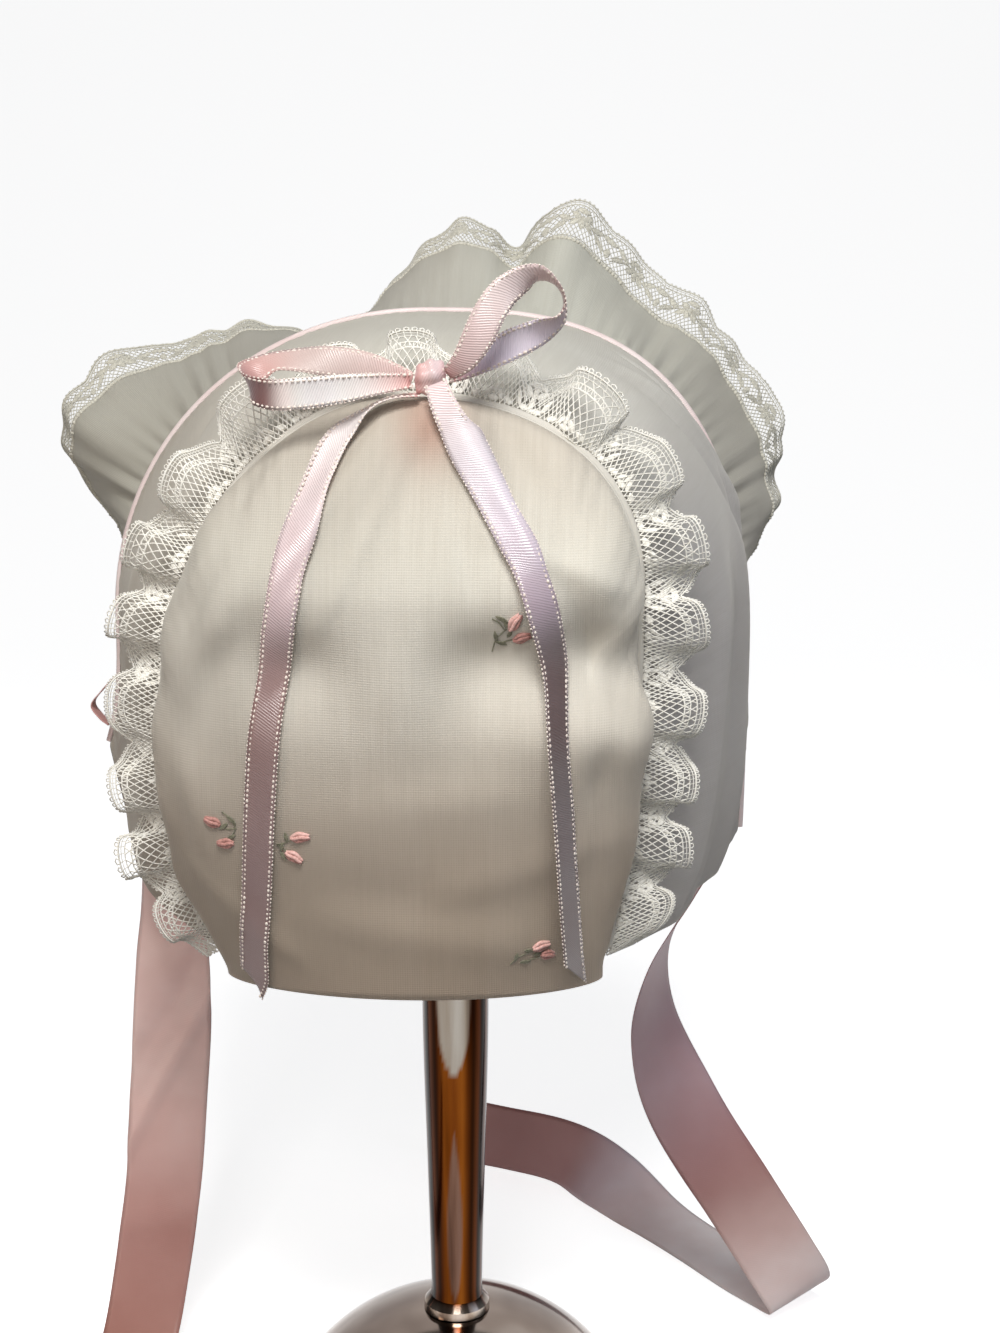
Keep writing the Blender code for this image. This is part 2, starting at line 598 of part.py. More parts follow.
def make_piping(material):
    outline = arch_outline(PIPING_Y, PIPING_POINTS)
    curve = bpy.data.curves.new("piping", "CURVE")
    curve.dimensions = "3D"
    curve.bevel_depth = PIPING_RADIUS
    curve.bevel_resolution = 1
    curve.use_fill_caps = True
    spline = curve.splines.new("POLY")
    spline.points.add(len(outline) - 1)
    for point, place in zip(spline.points, outline):
        point.co = (*place, 1.0)
    curve.materials.append(material)
    item = bpy.data.objects.new("piping", curve)
    bpy.context.collection.objects.link(item)
    return item


# The middle line, across direction and width of a ribbon, evenly spaced in
# metres and cut at a length if one is given
def ribbon_path(stations, spacing, length=None):
    keyed = [(0.0, *stations[0])]
    for before, station in zip(stations, stations[1:]):
        chord = math.dist(before[:3], station[:3])
        keyed.append((keyed[-1][0] + chord, *station))
    Keyed = namedtuple("Keyed", "chord " + " ".join(Station._fields))
    rows = [Keyed(*row) for row in keyed]
    dense = [read_table(rows, rows[-1].chord * k / 600) for k in range(601)]
    values = np.array([row[1:] for row in dense])
    places = values[:, :3] * MM
    travelled = np.concatenate(([0.0], np.cumsum(np.linalg.norm(np.diff(places, axis=0), axis=1))))
    end = travelled[-1] if length is None else min(length, travelled[-1])
    wanted = np.linspace(0.0, end, max(2, round(end / spacing) + 1))
    path = np.stack([np.interp(wanted, travelled, places[:, axis]) for axis in range(3)], axis=1)
    across = np.stack([np.interp(wanted, travelled, values[:, axis]) for axis in (3, 4, 5)], axis=1)
    widths = np.interp(wanted, travelled, values[:, 6]) * MM
    along = np.gradient(path, axis=0)
    along /= np.linalg.norm(along, axis=1)[:, None]
    across -= along * np.sum(across * along, axis=1)[:, None]
    across /= np.linalg.norm(across, axis=1)[:, None]
    return path, across, widths


# Both edges of a ribbon along a path
def ribbon_points(path, across, widths):
    return np.stack([path + across * widths[:, None] * side for side in (-0.5, 0.5)], axis=0)


def make_ribbon(name, stations, spacing, material):
    path, across, widths = ribbon_path(stations, spacing)
    points = ribbon_points(path, across, widths)
    return wall_object(name, points, RIBBON_WALL, 0, material)


# A bow tail hangs from the knot and then lies on the back panel: each of its
# points that would be inside the panel is brought out to rest on it. Its left
# edge is then lifted where the tail stands up on its right edge.
def make_tail(name, stations, turns, panel, material):
    path, across, widths = ribbon_path(stations, 0.0045)
    angles = np.array([math.radians(read_table(turns, place[2]).angle) for place in path])
    rest = 0.5 * RIBBON_WALL + GAP + TAIL_EASE
    tree = BVHTree.FromPolygons(
        [vertex.co for vertex in panel.data.vertices],
        [polygon.vertices for polygon in panel.data.polygons],
    )
    points = ribbon_points(path, across, widths * np.cos(angles))
    for strip in points:
        for k, point in enumerate(strip):
            place = Vector(point)
            hit = tree.ray_cast(Vector((place.x, -TAIL_RAY_START, place.z)), Vector((0.0, 1.0, 0.0)))[0]
            if hit is not None:
                place.y = min(place.y, hit.y)
            nearest, normal, _, _ = tree.find_nearest(place)
            height = (place - nearest).dot(normal)
            if height < rest:
                place += normal * (rest - height)
            strip[k] = place
    points[0, :, 1] -= widths * np.sin(angles)
    return wall_object(name, points, RIBBON_WALL, 0, material)


# A wide tie starts flat against the inside of the band. Stations above the
# band's lower edge are brought in until they clear the wall.
def make_tie(name, stations, side, material):
    path, across, widths = ribbon_path(stations, 0.0085, TIE_LENGTH)
    points = ribbon_points(path, across, widths)
    clear = CLOTH_WALL + 0.5 * RIBBON_WALL + TIE_CLEARANCE
    for strip in points:
        for point in strip:
            row = read_table(ARCHES, point[1])
            if side < 0:
                wall_x, spring, corner, tuck = row.left_x, row.left_spring_z, row.left_z, row.left_tuck
            else:
                wall_x, spring, corner, tuck = row.right_x, row.right_spring_z, row.right_z, row.right_tuck
            if point[2] < corner - 0.004:
                continue
            t = min(1.0, max(0.0, (spring - point[2]) / (spring - corner)))
            wall_x -= side * (tuck * t ** TUCK_POWER + clear)
            point[0] = min(point[0], wall_x) if side > 0 else max(point[0], wall_x)
    return wall_object(name, points, RIBBON_WALL, 0, material)


def make_knot(material):
    shape = bmesh.new()
    bmesh.ops.create_cube(shape, size=1.0)
    bmesh.ops.scale(shape, vec=KNOT_SIZE, verts=shape.verts)
    mesh = bpy.data.meshes.new("bow_knot")
    shape.to_mesh(mesh)
    shape.free()
    mesh.shade_smooth()
    mesh.materials.append(material)
    item = bpy.data.objects.new("bow_knot", mesh)
    item.location = KNOT_CENTRE
    bpy.context.collection.objects.link(item)
    soften = item.modifiers.new("soften", "SUBSURF")
    soften.levels = 2
    soften.render_levels = 2
    return item


def sphere_drop(sphere, radius):
    return sphere - math.sqrt(sphere ** 2 - radius ** 2)


def make_stand(material):
    foot_top = FOOT_EDGE + sphere_drop(FOOT_SPHERE, FOOT_RADIUS)
    foot = [(0.0, 0.0), (FOOT_RADIUS - 0.0006, 0.0), (FOOT_RADIUS, 0.0006)]
    steps = 7
    for step in range(steps + 1):
        radius = FOOT_RADIUS + (FOOT_FLAT_RADIUS - FOOT_RADIUS) * step / steps
        foot.append((radius, foot_top - sphere_drop(FOOT_SPHERE, radius)))
    flat_z = foot[-1][1]
    foot.append((0.0, flat_z))
    turned_object("stand_base", foot, 40, material)

    crown = arch_outline(0.0, 201)
    under_crown = float(np.interp(0.0, crown[:, 0], crown[:, 2])) - CLOTH_WALL - CAP_CLEARANCE
    cap_rim = under_crown - sphere_drop(CAP_SPHERE, CAP_RADIUS)
    cap_underside = cap_rim - CAP_EDGE
    post_foot = flat_z + GAP
    post_top = cap_underside - GAP
    post = [(0.0, post_foot)]
    for ring in POST_RINGS:
        if post_foot + ring.z < post_top:
            post.append((ring.radius, post_foot + ring.z))
    post.append((POST_RINGS[-1].radius, post_top))
    post.append((0.0, post_top))
    turned_object("stand_post", post, 24, material)

    cap = [(0.0, cap_underside), (CAP_RADIUS - 0.0015, cap_underside), (CAP_RADIUS, cap_underside + 0.0015)]
    steps = 5
    for step in range(steps):
        radius = CAP_RADIUS * (1 - step / steps)
        cap.append((radius, under_crown - sphere_drop(CAP_SPHERE, radius)))
    cap.append((0.0, under_crown))
    turned_object("stand_cap", cap, 28, material)


def main():
    clear_scene()
    batiste = make_material("batiste", "E6E3D8", 0.75)
    lace = make_material("cream_lace", "EDE9DA", 0.85)
    piping = make_material("piping_satin", "F0D5D2", 0.45)
    bow_satin = make_material("bow_satin", "E8C6C8", 0.35)
    tie_satin = make_material("tie_satin", "DDB3AE", 0.40)
    metal = make_material("polished_metal", "B59B86", 0.12, 1.0)

    make_stand(metal)
    panel = make_back_panel(batiste)
    make_side_band(batiste)
    make_piping(piping)
    make_front_ruffle(batiste, lace)
    make_back_lace(lace)
    make_knot(bow_satin)
    make_ribbon("bow_loop_left", LEFT_LOOP, 0.004, bow_satin)
    make_ribbon("bow_loop_right", RIGHT_LOOP, 0.004, bow_satin)
    make_tail("bow_tail_left", LEFT_TAIL, LEFT_TAIL_TURNS, panel, bow_satin)
    make_tail("bow_tail_right", RIGHT_TAIL, RIGHT_TAIL_TURNS, panel, bow_satin)
    make_tie("tie_left", LEFT_TIE, -1, tie_satin)
    make_tie("tie_right", RIGHT_TIE, 1, tie_satin)
    make_ribbon("corner_tab", CORNER_TAB, 0.003, tie_satin)


main()
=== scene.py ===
# Sheer batiste baby bonnet with lace, a narrow pink bow and wide satin ties, on a plain metal stand.
# Metres, +Z up. The foot stands on z 0, the gathered back faces -Y and the face opening +Y.
import math

import bmesh
import bpy
import numpy as np
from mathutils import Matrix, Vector
from mathutils.bvhtree import BVHTree


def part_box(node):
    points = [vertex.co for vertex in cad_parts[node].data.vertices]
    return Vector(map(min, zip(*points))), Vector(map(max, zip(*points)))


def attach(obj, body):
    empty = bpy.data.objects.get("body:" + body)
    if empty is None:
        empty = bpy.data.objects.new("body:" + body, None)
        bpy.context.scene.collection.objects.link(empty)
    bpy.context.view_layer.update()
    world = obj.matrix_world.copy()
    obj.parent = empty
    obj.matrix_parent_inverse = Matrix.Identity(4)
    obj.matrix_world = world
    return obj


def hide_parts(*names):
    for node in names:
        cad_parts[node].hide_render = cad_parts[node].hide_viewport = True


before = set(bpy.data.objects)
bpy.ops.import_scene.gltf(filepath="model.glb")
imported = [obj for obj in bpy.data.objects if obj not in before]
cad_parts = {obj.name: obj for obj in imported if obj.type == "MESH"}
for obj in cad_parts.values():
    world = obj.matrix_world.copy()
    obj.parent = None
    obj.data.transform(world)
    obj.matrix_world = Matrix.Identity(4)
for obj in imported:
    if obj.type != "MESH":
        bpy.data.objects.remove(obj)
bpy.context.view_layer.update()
mm = 0.001
print("frame:", len(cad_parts), "solids")


def linear(hexCode):
    channels = [int(hexCode[i:i + 2], 16) / 255 for i in (0, 2, 4)]
    return tuple(c / 12.92 if c <= 0.04045 else ((c + 0.055) / 1.055) ** 2.4 for c in channels) + (1.0,)


def addNode(tree, kind, settings=None, values=None, links=None):
    node = tree.nodes.new(kind)
    for name, value in (settings or {}).items():
        setattr(node, name, value)
    for key, value in (values or {}).items():
        node.inputs[key].default_value = value
    for key, source in (links or {}).items():
        tree.links.new(source, node.inputs[key])
    return node


def newMaterial(name):
    material = bpy.data.materials.new(name)
    material.use_nodes = True
    tree = material.node_tree
    tree.nodes.clear()
    out = addNode(tree, "ShaderNodeOutputMaterial")
    return material, tree, out


def ramp(tree, source, stops):
    node = addNode(tree, "ShaderNodeValToRGB", links={"Fac": source})
    elements = node.color_ramp.elements
    while len(elements) > len(stops):
        elements.remove(elements[-1])
    while len(elements) < len(stops):
        elements.new(1.0)
    for element, (place, colour) in zip(elements, stops):
        element.position = place
        element.color = colour
    return node


# the colour painted on a piece, with its painted shade, painted highlights and painted reflections, laid over
# the colour of its yarn or metal
def withShadeAndColour(tree, colour):
    shadeAndColour = addNode(tree, "ShaderNodeVertexColor", {"layer_name": "shadeAndColour"})
    tone = addNode(tree, "ShaderNodeMix", {"data_type": "RGBA", "blend_type": "MULTIPLY"}, {0: 1.0},
                   {6: colour, 7: shadeAndColour.outputs["Color"]})
    return tone.outputs[2]


# a share of the light passes through thin cloth and glows on its other side
def glowing(tree, surface, share, values=None, links=None):
    glow = addNode(tree, "ShaderNodeBsdfTranslucent", values=values, links=links)
    return addNode(tree, "ShaderNodeMixShader", values={"Fac": share},
                   links={1: surface.outputs["BSDF"], 2: glow.outputs["BSDF"]})


waveStep = 0.314           # a wave texture of scale 1 repeats every 0.314 units

# Cotton batiste: a sheer plain weave of fine combed yarn, washed soft. It is dull, lets light
# through and shows a faint crosswise grain of thicker yarns.
batisteLook = {
    "light": "EDEAE1", "dark": "E0DCD2", "behind": "E2DACE",
    "threadMm": 0.55,      # real yarns lie 0.25 mm apart, drawn twice as coarse so that they show
    "slubMm": 0.9, "slubHeight": 0.45,
    "cloudScale": 28.0,    # soft uneven patches, about 36 mm across
    "bump": 0.25, "bumpDepth": 0.00016, "roughness": 0.68, "sheen": 0.35,
    "through": 0.30, "sheer": 0.09,
}


def makeBatiste(name):
    v = batisteLook
    material, tree, out = newMaterial(name)
    uv = addNode(tree, "ShaderNodeUVMap", {"uv_map": "cloth"})    # millimetres on the cloth
    warp, weft = (
        addNode(tree, "ShaderNodeTexWave", {"bands_direction": way},
                {"Scale": waveStep / v["threadMm"], "Distortion": 0.6, "Detail": 1.0, "Detail Scale": 2.0},
                {"Vector": uv.outputs["UV"]}) for way in "XY")
    weave = addNode(tree, "ShaderNodeMath", {"operation": "ADD"},
                    links={0: warp.outputs["Fac"], 1: weft.outputs["Fac"]})
    stretch = addNode(tree, "ShaderNodeMapping", values={"Scale": (1 / v["slubMm"], 0.05, 1.0)},
                      links={"Vector": uv.outputs["UV"]})
    slub = addNode(tree, "ShaderNodeTexNoise", values={"Scale": 1.0, "Detail": 3.0, "Roughness": 0.55},
                   links={"Vector": stretch.outputs["Vector"]})
    place = addNode(tree, "ShaderNodeTexCoord")
    cloud = addNode(tree, "ShaderNodeTexNoise",
                    values={"Scale": v["cloudScale"], "Detail": 3.0, "Roughness": 0.6},
                    links={"Vector": place.outputs["Object"]})
    mixed = addNode(tree, "ShaderNodeMath", {"operation": "MULTIPLY"},
                    links={0: slub.outputs["Fac"], 1: cloud.outputs["Fac"]})
    dark, light = linear(v["dark"]), linear(v["light"])
    yarn = ramp(tree, mixed.outputs["Value"], [(0.10, dark), (0.42, light)])
    tone = withShadeAndColour(tree, yarn.outputs["Color"])
    height = addNode(tree, "ShaderNodeMath", {"operation": "MULTIPLY_ADD"}, {1: v["slubHeight"]},
                     {0: slub.outputs["Fac"], 2: weave.outputs["Value"]})
    bump = addNode(tree, "ShaderNodeBump", values={"Strength": v["bump"], "Distance": v["bumpDepth"]},
                   links={"Height": height.outputs["Value"]})
    cloth = addNode(tree, "ShaderNodeBsdfPrincipled",
                    values={"Roughness": v["roughness"], "Sheen Weight": v["sheen"], "Sheen Roughness": 0.4,
                            "Sheen Tint": linear("FFFDF4"), "Specular IOR Level": 0.3},
                    links={"Base Color": tone, "Normal": bump.outputs["Normal"]})
    soft = glowing(tree, cloth, v["through"], {"Color": linear(v["behind"])},
                   {"Normal": bump.outputs["Normal"]})
    clear = addNode(tree, "ShaderNodeBsdfTransparent")
    sheer = addNode(tree, "ShaderNodeMixShader", values={"Fac": v["sheer"]},
                    links={1: soft.outputs["Shader"], 2: clear.outputs["BSDF"]})
    tree.links.new(sheer.outputs["Shader"], out.inputs["Surface"])
    return material


# Cotton lace thread: mercerised two-ply cotton, cream. Soft and dull with a slight fuzz, so it
# has no highlight of its own and looks lighter than the cloth behind it.
threadLook = {"light": "FFFDF6", "dark": "EBE7DB", "plyMm": 0.5, "bump": 0.5, "bumpDepth": 0.0001}


def makeThread(name, light, dark, sheen=0.4, roughness=0.8, through=0.16):
    v = threadLook
    material, tree, out = newMaterial(name)
    place = addNode(tree, "ShaderNodeTexCoord")
    ply = addNode(tree, "ShaderNodeTexNoise",
                  values={"Scale": 1 / (v["plyMm"] * mm), "Detail": 2.0, "Roughness": 0.6},
                  links={"Vector": place.outputs["Object"]})
    tone = ramp(tree, ply.outputs["Fac"], [(0.3, linear(dark)), (0.62, linear(light))])
    bump = addNode(tree, "ShaderNodeBump", values={"Strength": v["bump"], "Distance": v["bumpDepth"]},
                   links={"Height": ply.outputs["Fac"]})
    thread = addNode(tree, "ShaderNodeBsdfPrincipled",
                     values={"Roughness": roughness, "Sheen Weight": sheen, "Sheen Roughness": 0.5,
                             "Specular IOR Level": 0.35},
                     links={"Base Color": tone.outputs["Color"], "Normal": bump.outputs["Normal"]})
    soft = glowing(tree, thread, through, links={"Color": tone.outputs["Color"]})
    tree.links.new(soft.outputs["Shader"], out.inputs["Surface"])
    return material


# Polyester satin ribbon: long floats of bright filament, so light runs along it in soft bands,
# pale where it meets the light and dusky where it turns away.
satinLook = {
    "ribMm": 0.55, "ribTurn": 62,       # fine ribs at a slant, drawn coarser than real ones so that they show
    "cloudScale": 45.0, "bumpDepth": 0.00012, "coatGloss": 0.75, "stretch": 0.6,
}


def makeSatin(name, light, dark, glowColour, roughness, sheen=0.5, through=0.18, ribs=0.6):
    v = satinLook
    material, tree, out = newMaterial(name)
    uv = addNode(tree, "ShaderNodeUVMap", {"uv_map": "cloth"})
    slant = addNode(tree, "ShaderNodeMapping",
                    values={"Rotation": (0.0, 0.0, math.radians(v["ribTurn"]))},
                    links={"Vector": uv.outputs["UV"]})
    weave = addNode(tree, "ShaderNodeTexWave", {"bands_direction": "X"},
                   {"Scale": waveStep / v["ribMm"], "Distortion": 0.4, "Detail": 1.0},
                   {"Vector": slant.outputs["Vector"]})
    place = addNode(tree, "ShaderNodeTexCoord")
    cloud = addNode(tree, "ShaderNodeTexNoise",
                    values={"Scale": v["cloudScale"], "Detail": 3.0, "Roughness": 0.55},
                    links={"Vector": place.outputs["Object"]})
    filament = ramp(tree, cloud.outputs["Fac"], [(0.3, linear(dark)), (0.68, linear(light))])
    tone = withShadeAndColour(tree, filament.outputs["Color"])
    bump = addNode(tree, "ShaderNodeBump", values={"Strength": ribs, "Distance": v["bumpDepth"]},
                   links={"Height": weave.outputs["Fac"]})
    satin = addNode(tree, "ShaderNodeBsdfPrincipled",
                    values={"Roughness": roughness, "Sheen Weight": sheen, "Sheen Roughness": 0.3,
                            "Sheen Tint": linear("FFF2F8"), "Specular IOR Level": v["coatGloss"],
                            "Anisotropic": v["stretch"], "Anisotropic Rotation": 0.25},
                    links={"Base Color": tone, "Normal": bump.outputs["Normal"]})
    soft = glowing(tree, satin, through, {"Color": linear(glowColour)})
    tree.links.new(soft.outputs["Shader"], out.inputs["Surface"])
    return material


# Polished metal with a warm bronze tint: mirror-like, with lengthwise streaks of lighter and darker colour
# that are painted reflections of the light running down the post in broken streaks, and a roughness that
# varies with them.
metalLook = {
    "post": ("FFFFFF", "D8CEC4", "8A7A70"), "foot": ("C6BBB2", "95867C", "6A5B53"),
    "postStreakMm": 5.0, "footStreakMm": 40.0, "polish": (0.06, 0.2),
}


def makeMetal(name, colours, streakMm):
    light, middle, dark = colours
    material, tree, out = newMaterial(name)
    place = addNode(tree, "ShaderNodeTexCoord")
    stretch = addNode(tree, "ShaderNodeMapping",
                      values={"Scale": (1 / (streakMm * mm), 1 / (streakMm * mm), 14.0)},
                      links={"Vector": place.outputs["Object"]})
    streak = addNode(tree, "ShaderNodeTexNoise", values={"Scale": 1.0, "Detail": 3.0, "Roughness": 0.5},
                     links={"Vector": stretch.outputs["Vector"]})
    shade = ramp(tree, streak.outputs["Fac"],
                 [(0.32, linear(dark)), (0.5, linear(middle)), (0.7, linear(light))])
    tone = withShadeAndColour(tree, shade.outputs["Color"])
    smooth, worn = metalLook["polish"]
    rough = addNode(tree, "ShaderNodeMapRange", values={"To Min": smooth, "To Max": worn},
                    links={"Value": streak.outputs["Fac"]})
    metal = addNode(tree, "ShaderNodeBsdfPrincipled", values={"Metallic": 1.0},
                    links={"Base Color": tone, "Roughness": rough.outputs["Result"]})
    tree.links.new(metal.outputs["BSDF"], out.inputs["Surface"])
    return material


batiste = makeBatiste("washed cotton batiste")
laceThread = makeThread("cream mercerised lace cotton", threadLook["light"], threadLook["dark"])
# the ruffle's lace is the same cream cotton, made greyer as painted shade
ruffleThread = makeThread("cream lace cotton in painted shade", "EAE8DD", "CCC8BA", through=0.38)
pipingSatin = makeSatin("piping in pale pink satin", "F3E7E4", "E8D3D0", "EDD9D6", 0.38)
bowSatin = makeSatin("narrow woven satin ribbon", "FFFFFF", "EFE9E8", "E6CCCB", 0.30)
tieSatin = makeSatin("wide dusty pink satin ribbon", "FFFFFF", "F1E8E6", "D9A098", 0.40, 0.35, 0.22, 0.2)
picotThread = makeThread("cream picot edge thread", "FFF6EA", "D9C4BC", 0.6, 0.5)
budSilk = makeThread("pink stranded silk", "EFC3BA", "CF978D", 0.5, 0.45)
budSilkDeep = makeThread("deep pink stranded silk", "CC968C", "9E6A62", 0.5, 0.45)
leafSilk = makeThread("grey green stranded silk", "87856E", "5A5945", 0.4, 0.55)
postMetal = makeMetal("polished bronze toned metal", metalLook["post"], metalLook["postStreakMm"])
footMetal = makeMetal("polished smoky metal", metalLook["foot"], metalLook["footStreakMm"])
print("materials ready")


def placed(name, data):
    piece = bpy.data.objects.new(name, data)
    bpy.context.collection.objects.link(piece)
    return piece


def gridFaces(points, first=0):
    rows, columns = points.shape[:2]
    index = first + np.arange(rows * columns).reshape(rows, columns)
    faces = [index[:-1, :-1], index[1:, :-1], index[1:, 1:], index[:-1, 1:]]
    return np.stack(faces, axis=-1).reshape(-1, 4)


def gridMesh(name, points, uv, material, flip=False):
    corner = gridFaces(points)
    if flip:
        corner = corner[:, ::-1]
    mesh = bpy.data.meshes.new(name)
    mesh.from_pydata(points.reshape(-1, 3).tolist(), [], corner.tolist())
    layer = mesh.uv_layers.new(name="cloth")
    layer.data.foreach_set("uv", uv.reshape(-1, 2)[corner.reshape(-1)].astype(np.float32).reshape(-1))
    mesh.shade_smooth()
    mesh.materials.append(material)
    return placed(name, mesh)


# a colour painted on the cloth, with any painted shade, highlight or reflection in it, one for each point of
# the mesh in order
def paint(piece, colours):
    layer = piece.data.color_attributes.get("shadeAndColour")
    if layer is None:
        layer = piece.data.color_attributes.new("shadeAndColour", "FLOAT_COLOR", "POINT")
    flat = np.ones((len(piece.data.vertices), 4), np.float32)
    flat[:, :3] = np.asarray(colours, np.float32).reshape(-1, 3)
    layer.data.foreach_set("color", flat.reshape(-1))
    return piece


def plain(piece):
    return paint(piece, np.ones((len(piece.data.vertices), 3)))


# colour with painted shade and painted highlights, read from a table of shares along a piece
def shadeAndColourAlong(table, shares):
    rows = [(place, *linear(hexCode)[:3]) for place, hexCode in table]
    return np.clip(readTable(rows, shares), 0.0, 1.0)


def giveWall(piece, wall, offset=-1.0):
    solidify = piece.modifiers.new("wall", "SOLIDIFY")
    solidify.thickness = wall
    solidify.offset = offset
    return piece


def frozen(piece):
    graph = bpy.context.evaluated_depsgraph_get()
    mesh = bpy.data.meshes.new_from_object(piece.evaluated_get(graph))
    piece.modifiers.clear()
    old = piece.data
    piece.data = mesh
    mesh.name = piece.name
    if old.users == 0 and isinstance(old, bpy.types.Mesh):
        bpy.data.meshes.remove(old)
    return piece


def joined(name, parts):
    bpy.ops.object.select_all(action="DESELECT")
    for part in parts:
        part.select_set(True)
    bpy.context.view_layer.objects.active = parts[0]
    bpy.ops.object.join()
    parts[0].name = name
    parts[0].data.name = name
    return parts[0]


# Hermite reading of a table, all of its columns at every key
def readTable(rows, keys):
    table = np.array(rows, float)
    x, v = table[:, 0], table[:, 1:]
    keys = np.clip(np.atleast_1d(np.asarray(keys, float)), x[0], x[-1])
    i = np.clip(np.searchsorted(x, keys, side="right") - 1, 0, len(x) - 2)
    order = np.arange(len(x))
    before, after = np.maximum(order - 1, 0), np.minimum(order + 1, len(x) - 1)
    slope = (v[after] - v[before]) / (x[after] - x[before])[:, None]
    span = (x[i + 1] - x[i])[:, None]
    t = (keys[:, None] - x[i][:, None]) / span
    bend = (1 - t) * ((1 - t) * slope[i] * span - t * slope[i + 1] * span) * t
    blend = t * t * (3 - 2 * t)
    return v[i] * (1 - blend) + v[i + 1] * blend + bend


def resample(points, count):
    steps = np.linalg.norm(np.diff(points, axis=0), axis=1)
    length = np.concatenate(([0.0], np.cumsum(steps)))
    wanted = np.linspace(0.0, length[-1], count)
    return np.stack([np.interp(wanted, length, points[:, axis]) for axis in range(3)], axis=1)


def gridNormals(points):
    normals = np.cross(np.gradient(points, axis=0), np.gradient(points, axis=1))
    return normals / np.maximum(np.linalg.norm(normals, axis=2), 1e-12)[:, :, None]


# smooth ups and downs along 0 to 1, the same each run
def wander(seed, along, waves):
    rng = np.random.default_rng(seed)
    total = np.zeros_like(along)
    for wave in waves:
        total += rng.normal() * np.sin(math.tau * (wave * along + rng.random())) / math.sqrt(len(waves))
    return total


# The bonnet's sections from back to front: y, crown x and z, then for the left and for the right
# side its widest x, where it rounds over, how square, its lower corner and the corner's tuck
archRows = (
    (-0.044, -0.008, 0.2755, -0.0645, 0.203, 1.95, 0.141, 0.013, 0.045, 0.234, 2.15, 0.1415, 0.007),
    (-0.02, -0.008, 0.286, -0.077, 0.204, 1.98, 0.149, 0.001, 0.0645, 0.215, 2.45, 0.143, 0.0085),
    (0.012, -0.0085, 0.2908, -0.0875, 0.206, 2.02, 0.159, -0.001, 0.0744, 0.2, 2.65, 0.145, 0.0075),
    (0.043, -0.009, 0.292, -0.0966, 0.207, 2.05, 0.1715, -0.004, 0.0775, 0.185, 2.8, 0.149, 0.0005),
    (0.05, -0.009, 0.2922, -0.0974, 0.207, 2.05, 0.1725, -0.004, 0.078, 0.185, 2.8, 0.149, 0.0005),
)
body = {
    "wallSteps": 48, "archSteps": 120, "tuckPower": 2.8, "backY": -0.0410, "frontY": 0.0430,
    "laceFootY": -0.0421, "panelEdgeY": -0.0432,
    "pipingY": 0.0444, "pipingRadius": 0.0011, "ruffleFootY": 0.0460,
    "seamLength": 0.355,
}


def sideOutline(y, crownX, crownZ, side):
    sideX, springZ, square, cornerZ, tuck = side
    steps, turns = body["wallSteps"], body["archSteps"]
    inward = math.copysign(1.0, crownX - sideX)
    t = np.arange(steps) / steps
    x = sideX + inward * tuck * (1 - t) ** body["tuckPower"]
    lower = np.stack([x, np.full(steps, y), cornerZ + (springZ - cornerZ) * t], axis=1)
    angle = 0.5 * math.pi * np.arange(turns + 1) / turns
    across = np.abs(np.cos(angle)) ** (2 / square)
    up = np.abs(np.sin(angle)) ** (2 / square)
    x = crownX + (sideX - crownX) * across
    upper = np.stack([x, np.full(turns + 1, y), springZ + (crownZ - springZ) * up], axis=1)
    return np.concatenate([lower, upper])


def archOutline(y, count):
    row = readTable(archRows, y)[0]
    left = sideOutline(y, row[0], row[1], row[2:7])
    right = sideOutline(y, row[0], row[1], row[7:12])
    return resample(np.concatenate([left, right[-2::-1]]), count)


def outwardOf(outline):
    along = np.gradient(outline, axis=0)
    out = np.stack([-along[:, 2], np.zeros(len(outline)), along[:, 0]], axis=1)
    return out / np.linalg.norm(out, axis=1)[:, None]


foldFade = 0.25           # a fold dies out over this share of its own length


# folds run from one place to another: a, b, to a, to b, width, height
def foldHeight(folds, a, b, scaleA=1.0):
    height = np.zeros_like(a)
    for fromA, fromB, toA, toB, width, rise in folds:
        runA, runB = (toA - fromA) * scaleA, toB - fromB
        offA, offB = (a - fromA) * scaleA, b - fromB
        square = runA ** 2 + runB ** 2
        t = (offA * runA + offB * runB) / square
        side = np.abs(offA * runB - offB * runA) / math.sqrt(square)
        past = np.maximum(np.maximum(-t, t - 1), 0.0)
        height += rise * np.exp(-(side / width) ** 2 - (past / foldFade) ** 2)
    return height


# The side band: smooth over the crown, with long soft folds where it hangs at the sides
band = {
    "columns": 361, "rows": 60, "wall": 0.0004,
    "folds": (
        (0.8, -0.012, 0.96, -0.018, 0.005, 0.0016),
        (0.815, 0.004, 0.985, 0, 0.005, -0.0014),
        (0.78, 0.018, 0.98, 0.016, 0.006, 0.0016),
        (0.03, 0.006, 0.17, 0, 0.006, 0.0012),
        (0.25, -0.01, 0.33, 0.02, 0.006, -0.001),
        (0.64, 0.01, 0.76, 0.034, 0.0028, 0.0014),
        (0.66, 0.004, 0.79, 0.028, 0.0022, -0.0013),
        (0.715, 0.03, 0.93, 0.034, 0.002, 0.0017),
        (0.735, 0.024, 0.95, 0.026, 0.0018, -0.0015),
        (0.615, 0.022, 0.65, 0.026, 0.0014, -0.0021),
    ),
    "easeCount": 58, "ease": 0.0005, "easeReach": 0.07,       # small puckers along the piping
    "backEase": 0.6, "backEaseReach": 0.09, "sway": 0.0005,
    # painted shade: darker down the sides than over the crown, share, then red, green, blue
    "tone": (
        (0, 0.38, 0.33, 0.29), (0.2, 0.5, 0.46, 0.42), (0.35, 0.85, 0.85, 0.84), (0.5, 0.86, 0.87, 0.86),
        (0.62, 0.82, 0.84, 0.86), (0.75, 0.6, 0.61, 0.67), (1, 0.56, 0.57, 0.63),
    ),
}


